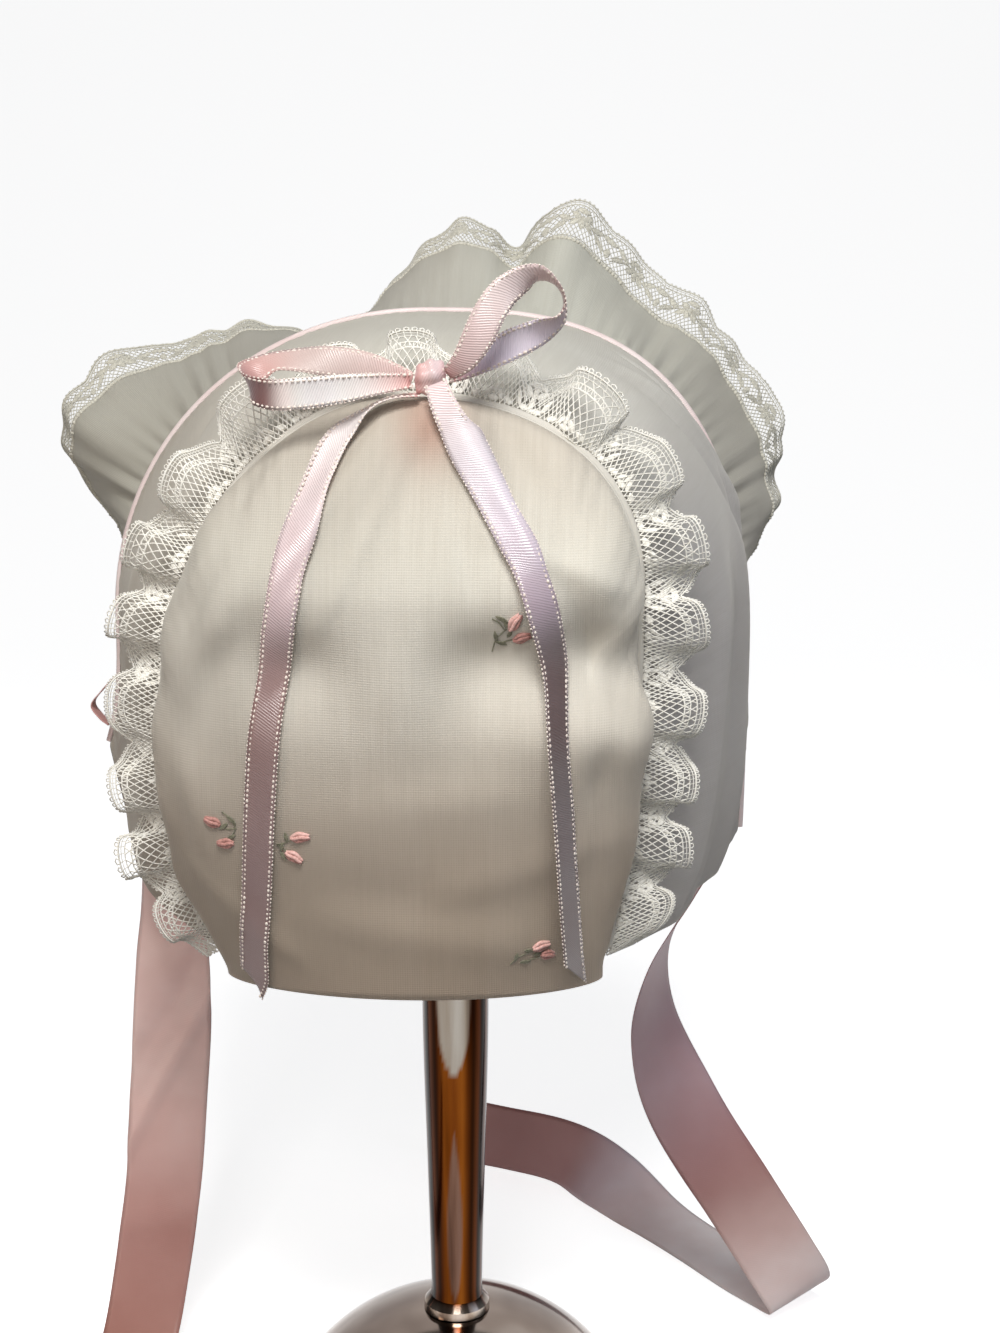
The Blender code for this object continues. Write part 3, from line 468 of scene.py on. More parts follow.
def bandSurface(columns, depths):
    points = np.array([archOutline(y, columns) for y in depths])
    normals = -gridNormals(points)
    a = np.broadcast_to(np.linspace(0, 1, columns)[None, :], points.shape[:2])
    b = np.broadcast_to(np.asarray(depths)[:, None], points.shape[:2])
    t = (b - body["backY"]) / (body["frontY"] - body["backY"])
    edge = np.clip(6 * np.minimum(t, 1 - t), 0.0, 1.0)
    height = foldHeight(band["folds"], a, b, body["seamLength"]) * edge
    ease = np.sin(math.tau * band["easeCount"] * a + 2.5 * wander(3, a, (3, 7, 11)))
    for amount, reach, away in ((band["ease"], band["easeReach"], 1 - t),
                                (band["backEase"] * band["ease"], band["backEaseReach"], t)):
        height += amount * ease * np.exp(-away / reach) * np.clip(40 * away, 0, 1)
    height += band["sway"] * wander(5, a, (2, 3, 5)) * np.sin(math.pi * t)
    return points + normals * height[:, :, None]


def millimetreUv(points):
    along = np.linalg.norm(np.diff(points, axis=1), axis=2).mean(axis=0)
    down = np.linalg.norm(np.diff(points, axis=0), axis=2).mean(axis=1)
    s = np.concatenate(([0.0], np.cumsum(along))) / mm
    w = np.concatenate(([0.0], np.cumsum(down))) / mm
    return np.stack(np.meshgrid(s, w), axis=-1)


# painted shade along the arch of a piece, read from a table of shares, the same at every depth
def paintShadeAlong(piece, table, points):
    tone = readTable(table, np.linspace(0, 1, points.shape[1]))
    paint(piece, np.broadcast_to(tone[None], points.shape))


def makeBand():
    depths = np.linspace(body["backY"], body["frontY"], band["rows"])
    points = bandSurface(band["columns"], depths)
    piece = gridMesh("sideBand", points, millimetreUv(points), batiste, flip=True)
    paintShadeAlong(piece, band["tone"], points)
    return giveWall(piece, band["wall"]), points


# The back panel: a soft pillow gathered into the seam, slack lower down, with a straight hem
panel = {
    "columns": 361, "rows": 110, "wall": 0.0004,
    "cornerDrop": 0.0045, "hemZ": 0.1385, "roundShare": 0.45, "roundPower": 2.4,
    "profile": (
        (0.1385, 0.0215), (0.15, 0.0228), (0.16, 0.0239), (0.175, 0.0256), (0.19, 0.0268),
        (0.2, 0.0274), (0.208, 0.0271), (0.216, 0.027), (0.222, 0.0276), (0.228, 0.0285),
        (0.234, 0.029), (0.243, 0.0278), (0.252, 0.0258), (0.263, 0.0222), (0.276, 0.0175),
    ),
    "seamCords": ((-0.0432, -0.0003, 0.0007), (-0.0421, -0.0004, 0.0012)),   # depth, outward, radius
    "cordSteps": 240, "cordSides": 8,
    # painted shade: warmer and darker toward the hem and toward the top, by height
    "tone": ((0.135, 0.48, 0.39, 0.33), (0.15, 0.5, 0.42, 0.36), (0.175, 0.6, 0.53, 0.48),
             (0.19, 0.8, 0.75, 0.71), (0.205, 0.9, 0.88, 0.86), (0.23, 1, 1, 0.99),
             (0.242, 1, 1, 0.98), (0.255, 0.9, 0.88, 0.85), (0.27, 0.78, 0.74, 0.7),
             (0.29, 0.74, 0.7, 0.66)),
    "leftSideShade": (0.93, 2.4, 0.80),       # painted shade: the left side darker
    "billow": 0.0020, "billowVary": 0.0006, "billowReach": 0.05,
    # where the cloth billows further over the lace: share of the seam, reach, amount
    "billows": ((0.60, 0.035, 0.0014), (0.80, 0.05, 0.0016), (0.16, 0.05, 0.0010), (0.34, 0.04, 0.0008)),
    "knotTint": ("F3D3CC", -0.0010, 0.2705, 0.0070, 0.0085),
    "rowPower": 1.5, "swellPower": 0.6, "seamRest": 0.03,     # rows lie closer at the seam
    "gathers": 15, "gatherHeight": 0.0006, "gatherRise": 0.04, "gatherReach": 0.14,
    "fineGathers": 71, "fineHeight": 0.00014, "fineReach": 0.07, "fineDrift": 1.6, "fineVary": 0.5,
    "folds": (
        (-0.008, 0.27, -0.046, 0.228, 0.0055, 0.0026),
        (-0.022, 0.266, -0.056, 0.205, 0.005, -0.002),
        (0.006, 0.268, 0.03, 0.24, 0.005, 0.0021),
        (0.018, 0.262, 0.042, 0.214, 0.005, -0.002),
        (0.044, 0.2, 0.045, 0.16, 0.004, 0.0018),
        (0.037, 0.196, 0.038, 0.156, 0.0035, -0.0012),
        (-0.056, 0.19, -0.05, 0.158, 0.0045, 0.0014),
        (-0.02, 0.158, 0.016, 0.152, 0.006, 0.0012),
        (-0.004, 0.268, -0.02, 0.236, 0.0022, 0.0007),
        (-0.01, 0.268, -0.03, 0.238, 0.0018, -0.0006),
        (0.002, 0.266, 0.008, 0.24, 0.002, -0.0006),
        (0.01, 0.264, 0.022, 0.244, 0.0018, 0.0006),
        (0.016, 0.246, 0.038, 0.236, 0.0026, 0.0008),
        (-0.034, 0.262, -0.054, 0.236, 0.0022, 0.0007),
        (-0.044, 0.25, -0.06, 0.214, 0.0022, -0.0007),
        (-0.055, 0.166, -0.036, 0.15, 0.003, 0.0008),
        (0.006, 0.166, 0.036, 0.174, 0.005, 0.0008),
    ),
    # dents and swells: x, z, reach across, reach down, slant in degrees, height
    "dents": (
        (0.036, 0.2185, 0.012, 0.0095, -12, -0.0078),
        (0.013, 0.218, 0.0105, 0.009, 0, -0.005),
        (-0.031, 0.2165, 0.01, 0.009, 20, -0.0044),
        (-0.007, 0.214, 0.009, 0.014, 0, 0.0026),
        (0.0394, 0.2015, 0.009, 0.0085, 0, 0.0044),
        (0.0227, 0.2017, 0.008, 0.009, 0, 0.002),
        (0.036, 0.242, 0.011, 0.008, -20, 0.0012),
        (-0.04, 0.238, 0.009, 0.011, 25, 0.001),
        (-0.05, 0.198, 0.007, 0.012, 0, -0.0012),
        (0.008, 0.188, 0.024, 0.006, 8, 0.0008),
        (0.03, 0.168, 0.012, 0.012, 0, -0.001),
        (-0.012, 0.162, 0.024, 0.008, 0, -0.0008),
    ),
}


def panelDepth(along, down, z):
    swell = np.sin(math.pi * along).clip(0, 1) ** panel["swellPower"]
    out = np.minimum(down / panel["roundShare"], 1.0)
    rise = (1 - (1 - out) ** panel["roundPower"]) ** (1 / panel["roundPower"])
    depth = readTable(panel["profile"], z.reshape(-1))[:, 0].reshape(z.shape)
    return depth * rise * swell


def makePanel():
    columns, rows = panel["columns"], panel["rows"]
    seam = archOutline(body["panelEdgeY"], columns)
    along = np.linspace(0, 1, columns)[None, :].repeat(rows, axis=0)
    down = ((np.arange(rows) / (rows - 1)) ** panel["rowPower"])[:, None].repeat(columns, axis=1)
    hemX = seam[0, 0] + (seam[-1, 0] - seam[0, 0]) * along
    cornerZ = seam[0, 2] + (seam[-1, 2] - seam[0, 2]) * along - panel["cornerDrop"]
    hemZ = cornerZ + (panel["hemZ"] - cornerZ) * np.sin(math.pi * along)
    x = seam[None, :, 0] + (hemX - seam[None, :, 0]) * down
    z = seam[None, :, 2] + (hemZ - seam[None, :, 2]) * down
    outward = outwardOf(seam)
    key = along[0]
    over = panel["billow"] + panel["billowVary"] * wander(14, key, (6, 11, 17))
    for middle, reach, more in panel["billows"]:
        over = over + more * np.exp(-((key - middle) / reach) ** 2)
    over = over * np.clip(np.sin(math.pi * key) * 4, 0, 1)
    over = over[None, :] * (down / panel["billowReach"]) * np.exp(1 - down / panel["billowReach"])
    depth = panelDepth(along, np.maximum(down, 1e-9), z)
    points = np.stack([x + over * outward[None, :, 0], body["panelEdgeY"] - depth,
                       z + over * outward[None, :, 2]], axis=-1)
    normals = gridNormals(points)
    nearSeam = np.minimum(down / panel["gatherRise"], 1.0) * np.exp(-down / panel["gatherReach"])
    inside = np.sqrt(np.sin(math.pi * along).clip(0, 1))
    height = panel["gatherHeight"] * np.cos(math.tau * panel["gathers"] * along) * nearSeam
    drift = panel["fineDrift"] * wander(11, along, (2, 5, 9))
    fine = np.sin(math.tau * panel["fineGathers"] * along + drift)
    fine = fine * (1 + panel["fineVary"] * wander(12, along, (7, 13)))
    height += panel["fineHeight"] * fine * np.exp(-down / panel["fineReach"])
    height += foldHeight(panel["folds"], points[:, :, 0], points[:, :, 2])
    for dentX, dentZ, across, tall, slant, rise in panel["dents"]:
        c, s = math.cos(math.radians(slant)), math.sin(math.radians(slant))
        offX, offZ = points[:, :, 0] - dentX, points[:, :, 2] - dentZ
        height += rise * np.exp(-((offX * c + offZ * s) / across) ** 2 - ((offZ * c - offX * s) / tall) ** 2)
    points = points + normals * (height * inside * np.minimum(down / panel["seamRest"], 1.0))[:, :, None]
    piece = gridMesh("backPanel", points, points[:, :, [0, 2]] / mm, batiste)
    hexCode, spotX, spotZ, spotWide, spotTall = panel["knotTint"]    # the ribbon's pink shows through
    spot = np.exp(-((points[:, :, 0] - spotX) / spotWide) ** 2 - ((points[:, :, 2] - spotZ) / spotTall) ** 2)
    # painted shade by height and on the left side
    tone = readTable(panel["tone"], points[:, :, 2].reshape(-1)).reshape(points.shape)
    level, slope, least = panel["leftSideShade"]
    tone = tone * np.clip(level + slope * points[:, :, :1], least, 1.0)
    paint(piece, tone * (1 + (np.array(linear(hexCode)[:3]) - 1) * spot[:, :, None]))
    return giveWall(piece, panel["wall"]), points


bandPiece, bandPoints = makeBand()
panelPiece, panelPoints = makePanel()
print("band and back panel shaped")


def treeOf(points):
    return BVHTree.FromPolygons(points.reshape(-1, 3).tolist(), gridFaces(points).tolist())


panelTree = treeOf(panelPoints)
bandTree = treeOf(bandPoints)


# Both node trees start from runs of points joined by edges, and end in real geometry with its material
def openTree(name, sizes, whole):
    tree = bpy.data.node_groups.new(name, "GeometryNodeTree")
    face = tree.interface
    face.new_socket("Geometry", in_out="INPUT", socket_type="NodeSocketGeometry")
    for label, value in sizes:
        face.new_socket(label, in_out="INPUT", socket_type="NodeSocketFloat").default_value = value
    face.new_socket(whole[0], in_out="INPUT", socket_type="NodeSocketInt").default_value = whole[1]
    face.new_socket("Material", in_out="INPUT", socket_type="NodeSocketMaterial")
    face.new_socket("Geometry", in_out="OUTPUT", socket_type="NodeSocketGeometry")
    start = addNode(tree, "NodeGroupInput")
    curve = addNode(tree, "GeometryNodeMeshToCurve", links={"Mesh": start.outputs["Geometry"]})
    return tree, start, curve


def closeTree(tree, start, geometry):
    smooth = addNode(tree, "GeometryNodeSetShadeSmooth", links={"Geometry": geometry})
    real = addNode(tree, "GeometryNodeRealizeInstances", links={"Geometry": smooth.outputs["Geometry"]})
    finish = addNode(tree, "GeometryNodeSetMaterial",
                     links={"Geometry": real.outputs["Geometry"], "Material": start.outputs["Material"]})
    addNode(tree, "NodeGroupOutput", links={0: finish.outputs["Geometry"]})
    return tree


# Geometry Nodes: every run of thread becomes round thread of its own thickness
def buildThreadTree():
    tree, start, curve = openTree("round thread", [("Thread Scale", 1.0)], ("Sides", 4))
    radius = addNode(tree, "GeometryNodeInputNamedAttribute", {"data_type": "FLOAT"}, {"Name": "radius"})
    scaled = addNode(tree, "ShaderNodeMath", {"operation": "MULTIPLY"},
                     links={0: radius.outputs["Attribute"], 1: start.outputs["Thread Scale"]})
    ring = addNode(tree, "GeometryNodeCurvePrimitiveCircle", values={"Radius": 1.0},
                   links={"Resolution": start.outputs["Sides"]})
    tube = addNode(tree, "GeometryNodeCurveToMesh", values={"Fill Caps": True},
                   links={"Curve": curve.outputs["Curve"], "Profile Curve": ring.outputs["Curve"],
                          "Scale": scaled.outputs["Value"]})
    return closeTree(tree, start, tube.outputs["Mesh"])


# Geometry Nodes: a row of small stitches or picots at an even spacing along each run
def buildStitchTree():
    sizes = [("Spacing", 0.0012), ("Stitch Length", 0.0008), ("Stitch Radius", 0.0002), ("Wobble", 0.2)]
    tree, start, curve = openTree("row of stitches", sizes, ("Seed", 1))
    spots = addNode(tree, "GeometryNodeCurveToPoints", {"mode": "LENGTH"},
                    links={"Curve": curve.outputs["Curve"], "Length": start.outputs["Spacing"]})
    half = addNode(tree, "ShaderNodeMath", {"operation": "MULTIPLY"}, {1: 0.5},
                   {0: start.outputs["Stitch Length"]})
    size = addNode(tree, "ShaderNodeCombineXYZ",
                   links={"X": start.outputs["Stitch Radius"], "Y": start.outputs["Stitch Radius"],
                          "Z": half.outputs["Value"]})
    bead = addNode(tree, "GeometryNodeMeshUVSphere", values={"Segments": 6, "Rings": 4, "Radius": 1.0})
    stitch = addNode(tree, "GeometryNodeTransform",
                     links={"Geometry": bead.outputs["Mesh"], "Scale": size.outputs["Vector"]})
    least, most = (addNode(tree, "ShaderNodeMath", {"operation": way}, {0: 1.0}, {1: start.outputs["Wobble"]})
                   for way in ("SUBTRACT", "ADD"))
    change = addNode(tree, "FunctionNodeRandomValue", {"data_type": "FLOAT"},
                     links={2: least.outputs["Value"], 3: most.outputs["Value"],
                            "Seed": start.outputs["Seed"]})
    each = addNode(tree, "GeometryNodeInstanceOnPoints",
                   links={"Points": spots.outputs["Points"], "Instance": stitch.outputs["Geometry"],
                          "Rotation": spots.outputs["Rotation"], "Scale": change.outputs[1]})
    return closeTree(tree, start, each.outputs["Instances"])


threadTree = buildThreadTree()
stitchTree = buildStitchTree()


def runsObject(name, runs):
    places, edges, radii = [], [], []
    for run, radius in runs:
        first = len(places)
        places.extend(run.tolist())
        radii.extend(np.broadcast_to(radius, len(run)).tolist())
        edges.extend((first + k, first + k + 1) for k in range(len(run) - 1))
    mesh = bpy.data.meshes.new(name)
    mesh.from_pydata(places, edges, [])
    mesh.attributes.new("radius", "FLOAT", "POINT").data.foreach_set("value", np.array(radii, np.float32))
    return placed(name, mesh)


def throughTree(piece, tree, inputs):
    modifier = piece.modifiers.new(tree.name, "NODES")
    modifier.node_group = tree
    for item in tree.interface.items_tree:
        if item.in_out == "INPUT" and item.name in inputs:
            modifier[item.identifier] = inputs[item.name]
    return frozen(piece)


def threads(name, runs, material, sides):
    return throughTree(runsObject(name, runs), threadTree,
                       {"Thread Scale": 1.0, "Sides": sides, "Material": material})


def stitches(name, runs, material, spacing, length, radius, wobble, seed):
    return throughTree(runsObject(name, [(run, radius) for run in runs]), stitchTree,
                       {"Spacing": spacing, "Stitch Length": length, "Stitch Radius": radius,
                        "Wobble": wobble, "Seed": seed, "Material": material})


# reads a surface at places given in metres along and across its flat cloth
def onSurface(surface, s, w, lift=0.0):
    rows, columns = surface["points"].shape[:2]
    x = np.clip(np.asarray(s) / surface["length"], 0, 1) * (columns - 1)
    y = np.clip(np.asarray(w) / surface["width"], 0, 1) * (rows - 1)
    i, j = np.minimum(y.astype(int), rows - 2), np.minimum(x.astype(int), columns - 2)
    fy, fx = (y - i)[..., None], (x - j)[..., None]

    def read(grid):
        low = grid[i, j] * (1 - fx) + grid[i, j + 1] * fx
        high = grid[i + 1, j] * (1 - fx) + grid[i + 1, j + 1] * fx
        return low * (1 - fy) + high * fy

    normal = read(surface["normals"])
    normal /= np.maximum(np.linalg.norm(normal, axis=-1, keepdims=True), 1e-9)
    return read(surface["points"]) + normal * np.asarray(lift)[..., None]


# radii of the lace's threads, and the lowest place of its footing
laceYarn = {
    "start": 0.0002, "footing": 0.00016, "footingFine": 0.00012, "footingBar": 0.00010,
    "edgeFine": 0.00012, "edgeInner": 0.00018, "edgeBar": 0.00011,
    "arch": 0.00024, "archOuter": 0.00020, "archBar": 0.00014, "archPower": 2.3,
    "gimp": 0.00017, "gimpLift": 0.0001, "clothwork": 0.00018, "clothLift": 0.00006, "leafPower": 0.8,
}


# Bobbin-style lace, drawn flat: footing, diamond net, clothwork leaves and flowers, a scalloped
# edge with a ladder of bars, and picots. Lengths along and across the lace are in metres.
def lacePattern(v, length):
    lines, patches, picots = [], [], []
    repeat, width = v["repeat"], v["width"]
    count = max(1, round(length / repeat))
    repeat = length / count

    def edgeAt(s):
        t = (s / repeat) % 1.0
        return width - v["scallop"] * (2 * t - 1) ** 2

    def netAt(s, share):                 # 0 on the footing, 1 on the inner side of the edge
        top = edgeAt(s) - v["ladder"]
        straight = width - v["ladder"] - 0.5 * v["scallop"]
        square = share ** 2
        return v["foot"] + share * ((1 - square) * (straight - v["foot"]) + square * (top - v["foot"]))

    run = np.arange(0.0, length, v["step"])
    for w, yarn in ((laceYarn["start"], "footing"), (0.5 * v["foot"], "footingFine"), (v["foot"], "footing")):
        lines.append((run, np.full_like(run, w), laceYarn[yarn]))
    for s in np.arange(0.0, length, v["bar"]):
        lines.append((np.array([s, s]), np.array([laceYarn["start"], v["foot"]]), laceYarn["footingBar"]))
    lines.append((run, edgeAt(run), v["edgeRadius"]))
    lines.append((run, edgeAt(run) - 0.45 * v["ladder"], laceYarn["edgeFine"]))
    lines.append((run, edgeAt(run) - v["ladder"], laceYarn["edgeInner"]))
    for s in np.arange(0.0, length, v["ladderBar"]):
        bar = np.array([s, s + 0.25 * v["ladderBar"]])
        lines.append((bar, edgeAt(bar) - np.array([0.0, v["ladder"]]), laceYarn["edgeBar"]))

    def archAt(share):
        return v["foot"] + (v["archHigh"] - v["foot"]) * (1 - np.abs(2 * share - 1) ** laceYarn["archPower"])

    arch = np.linspace(0.07, 0.93, 13)
    for k in range(count):                # a close-worked arch frames the window of net in each scallop
        s = (k + arch) * repeat
        lines.append((s, archAt(arch), laceYarn["arch"]))
        lines.append((s, archAt(arch) + v["archBand"], laceYarn["archOuter"]))
        for share in np.arange(0.09, 0.92, v["archBar"]):
            across = archAt(share) + np.array([0.0, v["archBand"]])
            lines.append((np.full(2, (k + share) * repeat), across, laceYarn["archBar"]))
    shares = np.linspace(0.0, 1.0, v["netSamples"])
    for s in np.arange(-v["slant"], length, v["net"]):
        for lean in (1, -1):
            begin = s if lean > 0 else s + v["slant"]
            path = begin + lean * v["slant"] * shares
            inside = (path >= 0) & (path <= length)
            if inside.sum() > 2:
                path, share = path[inside], shares[inside]
                lines.append((path, netAt(path, share), v["netRadius"]))
    for k in range(count):
        middle = (k + 0.5) * repeat
        for along, share, long, wide, turn in v["leaves"]:
            s = middle + along * repeat
            patches.append((s, float(netAt(np.array(s), share)), long, wide, math.radians(turn)))
        ends = np.linspace(0.06, 0.94, max(2, round(repeat / v["picot"]))) * repeat + k * repeat
        picots.extend(ends)
    return lines, patches, picots, edgeAt


def makeLace(name, surface, v, thread):
    lines, patches, picots, edgeAt = lacePattern(v, surface["length"])
    runs = [(onSurface(surface, s, w), radius) for s, w, radius in lines]
    step = 0.0005                         # how far back the cloth's direction is read at its rim
    for s in picots:                      # each picot is a tiny loop of thread past the edge
        angle = np.linspace(-0.25 * math.pi, 1.25 * math.pi, 5)
        ring = 0.5 * v["picotSize"]
        loopS = s + ring * np.cos(angle)
        loopW = edgeAt(s) + ring * (1.0 + np.sin(angle))
        past = np.maximum(loopW - surface["width"], 0.0)
        place = onSurface(surface, loopS, loopW)
        rim = onSurface(surface, loopS, np.full_like(loopS, surface["width"]))
        under = onSurface(surface, loopS, np.full_like(loopS, surface["width"] - step))
        place = place + (rim - under) / step * past[:, None]
        runs.append((place, v["picotRadius"]))
    a = np.linspace(0, 1, 9)
    power, strips = laceYarn["leafPower"], []

    def turnedOn(patch, lengthwise, side, lift):
        s, w, _, _, turn = patch
        return onSurface(surface, s + lengthwise * math.cos(turn) - side * math.sin(turn),
                         w + lengthwise * math.sin(turn) + side * math.cos(turn), lift)

    for patch in patches:                 # a gimp thread around each leaf, close woven threads inside it
        _, _, long, wide, _ = patch
        side = np.concatenate([np.sin(math.pi * a) ** power, -np.sin(math.pi * a) ** power]) * wide
        outline = (np.concatenate([a, a[::-1]]) - 0.5) * long
        runs.append((turnedOn(patch, outline, side, laceYarn["gimpLift"]), laceYarn["gimp"]))
        side = np.linspace(-1, 1, 4)[:, None] * (np.sin(math.pi * a)[None, :].clip(0.02, 1) ** power) * wide
        lengthwise = np.broadcast_to((a - 0.5)[None, :] * long, side.shape)
        strips.append(turnedOn(patch, lengthwise, side, laceYarn["clothLift"]))
    net = threads(name + "Net", runs, thread, sides=3)
    cloth = frozen(giveWall(stripsMesh(name + "Cloth", strips, thread), laceYarn["clothwork"], 0.0))
    return joined(name, [net, cloth])


def stripsMesh(name, strips, material):
    places, faces = [], []
    for points in strips:
        faces.extend(gridFaces(points, len(places)).tolist())
        places.extend(points.reshape(-1, 3).tolist())
    mesh = bpy.data.meshes.new(name)
    mesh.from_pydata(places, [], faces)
    mesh.shade_smooth()
    mesh.materials.append(material)
    return placed(name, mesh)


# The lace ring in the back seam, laid in soft pleats with one scallop on each
backLace = {
    "folds": 19, "flatLength": 0.600, "width": 0.0152, "root": 0.0012, "lean": 15.0,
    "crownAt": 0.50, "crownReach": 0.11, "crownLean": 20.0,
    "pleatDepth": 0.0026, "pleatShift": 0.0011, "pleatBias": 0.0010, "seed": 21,
    "endLeft": 0.0085, "endRight": 0.0120, "endShare": 0.07, "endLift": 30.0,
    "columns": 2400, "rows": 22, "seamSteps": 1601,
    # unevenness of the pleats: in their spacing, their depth and their lean
    "drift": 0.9, "vary": 0.28, "leanVary": 0.5,
    "footDepth": 0.0004, "depthPower": 0.8, "leanPower": 0.7,
}
backPattern = {
    "repeat": 0.0316, "width": 0.0150, "foot": 0.0012, "step": 0.0008, "bar": 0.0011,
    "scallop": 0.0052, "ladder": 0.0015, "ladderBar": 0.0011, "edgeRadius": 0.00028,
    "archHigh": 0.0108, "archBand": 0.0013, "archBar": 0.025,
    "net": 0.00195, "slant": 0.0090, "netSamples": 13, "netRadius": 0.00018,
    "picot": 0.0014, "picotSize": 0.0009, "picotRadius": 0.00021,
    # leaves of clothwork: along the repeat, across the net, length, half width, turn
    "leaves": (
        (0, 0.14, 0.004, 0.0006, 0), (-0.07, 0.24, 0.0032, 0.0005, 40), (0.07, 0.24, 0.0032, 0.0005, 140),
        (0, 0.34, 0.0028, 0.0005, 90), (-0.2, 0.16, 0.004, 0.0006, 12), (0.2, 0.16, 0.004, 0.0006, 168),
        (-0.33, 0.34, 0.0044, 0.0007, 60), (0.33, 0.34, 0.0044, 0.0007, 120),
        (-0.42, 0.58, 0.0048, 0.0007, 30),
        (0.42, 0.58, 0.0048, 0.0007, 150), (0.5, 0.3, 0.0052, 0.0008, 90), (0.5, 0.72, 0.0046, 0.0007, 90),
        (-0.45, 0.86, 0.004, 0.0006, -20), (0.45, 0.86, 0.004, 0.0006, 20), (0.42, 0.14, 0.004, 0.0006, 0),
        (-0.42, 0.14, 0.004, 0.0006, 0),
    ),
}


def backLaceSurface():
    v = backLace
    flat = np.linspace(0, 1, v["columns"])
    phase = math.tau * (v["folds"] * flat + 0.5) + v["drift"] * wander(v["seed"], flat, (2, 5, 8))
    level = (np.arange(v["rows"]) / (v["rows"] - 1))[:, None]
    seam = archOutline(body["laceFootY"], v["seamSteps"])
    keys = np.linspace(0, 1, v["seamSteps"])
    vary = 1 + v["vary"] * wander(v["seed"] + 1, flat, (6, 10, 15))[None, :]
    shift = (v["pleatShift"] * level * np.sin(2 * phase) + v["pleatBias"] * level * np.sin(phase)) * vary
    depth = (v["footDepth"] + v["pleatDepth"] * level ** v["depthPower"]) * np.cos(phase) * vary
    along = np.clip(flat[None, :] + shift / body["seamLength"], 0, 1)

    def at(table, column):
        return np.interp(along, keys, table[:, column])

    foot = np.stack([at(seam, 0), at(seam, 1), at(seam, 2)], axis=-1)
    outward = outwardOf(seam)
    end = np.minimum(along, 1 - along)
    left = along < 0.5
    endWidth = np.where(left, v["endLeft"], v["endRight"])
    width = endWidth + (v["width"] - endWidth) * np.minimum(1.0, end / v["endShare"])
    turn = np.where(left, 0.0, math.radians(v["endLift"]) * np.maximum(0.0, 1 - end / v["endShare"]))
    outX, outZ = at(outward, 0), at(outward, 2)
    out = np.stack([outX * np.cos(turn) - outZ * np.sin(turn), 0 * turn,
                    outX * np.sin(turn) + outZ * np.cos(turn)], axis=-1)
    reach = (width + v["root"]) * level - v["root"]
    share = np.maximum(reach, 0.0) / v["width"]
    crown = np.exp(-((flat - v["crownAt"]) / v["crownReach"]) ** 2)[None, :]
    lean = np.radians(v["lean"] + v["crownLean"] * crown) * share ** v["leanPower"]
    lean = lean * (1 + v["leanVary"] * wander(v["seed"] + 2, flat, (3, 7, 12))[None, :])
    heading = out * np.cos(lean)[..., None] + np.array((0.0, 1.0, 0.0)) * np.sin(lean)[..., None]
    facing = -np.array((0.0, 1.0, 0.0)) * np.cos(lean)[..., None] + out * np.sin(lean)[..., None]
    points = foot + heading * reach[..., None] + facing * depth[..., None]
    return {"points": points, "normals": gridNormals(points),
            "length": v["flatLength"], "width": v["width"]}


laceBackSurface = backLaceSurface()
backLacePiece = makeLace("backLace", laceBackSurface, backPattern, laceThread)
print("back lace:", len(backLacePiece.data.polygons), "faces")

# The face ruffle: how far it turns outward at its root and in its lace edge, from the left
# corner (0) over the crown to the right corner (1), in degrees from straight forward
flareRows = (
    (0, 4, 4), (0.06, 6, 8), (0.11, 8, 14), (0.15, 16, 22), (0.175, 40, 26), (0.195, 68, 28),
    (0.213, 80, 32), (0.235, 66, 36), (0.265, 40, 32), (0.3, 25, 20), (0.33, 16, 4), (0.375, -4, -6),
    (0.41, 0, -4), (0.44, 22, 14), (0.475, 39, 24), (0.503, 38, 26), (0.524, 28, 30), (0.546, 55, 42),
    (0.57, 44, 48), (0.6, 28, 48), (0.63, 22, 46), (0.655, 32, 32), (0.7, 28, 42), (0.74, 30, 28),
    (0.77, 28, 12), (0.795, 14, 4), (0.83, 0, 0), (0.9, 4, 6), (1, 3, 4),
)
ruffle = {
    "cloth": 0.0270, "lace": 0.0145, "turnFrom": 0.018, "turnTo": 0.032,
    "ripples": 13, "rippleAngle": 5.0,
    "columns": 961, "step": 0.0005, "wall": 0.0004, "flatLength": 0.620,
    "gathers": 84, "gatherHeight": 0.00042, "gatherReach": 0.0065, "gatherDrift": 2.2, "gatherVary": 0.5,
    "creases": 37, "creaseHeight": 0.00055, "creaseReach": 0.022, "creaseDrift": 3.0, "creaseVary": 0.6,
    "creasePower": 1.6, "waver": 0.0006, "waverFrom": 0.016, "waverOver": 0.020,
    "fineRows": 24,                     # every row near the gathers, then every second one
    # painted shade: the ruffle is darker away from the crown, share, then red, green, blue
    "tone": (
        (0, 0.42, 0.43, 0.41), (0.2, 0.5, 0.51, 0.49), (0.34, 0.52, 0.53, 0.52), (0.45, 0.57, 0.58, 0.57),
        (0.55, 0.64, 0.67, 0.66), (0.7, 0.5, 0.51, 0.5), (1, 0.44, 0.44, 0.44),
    ),
}


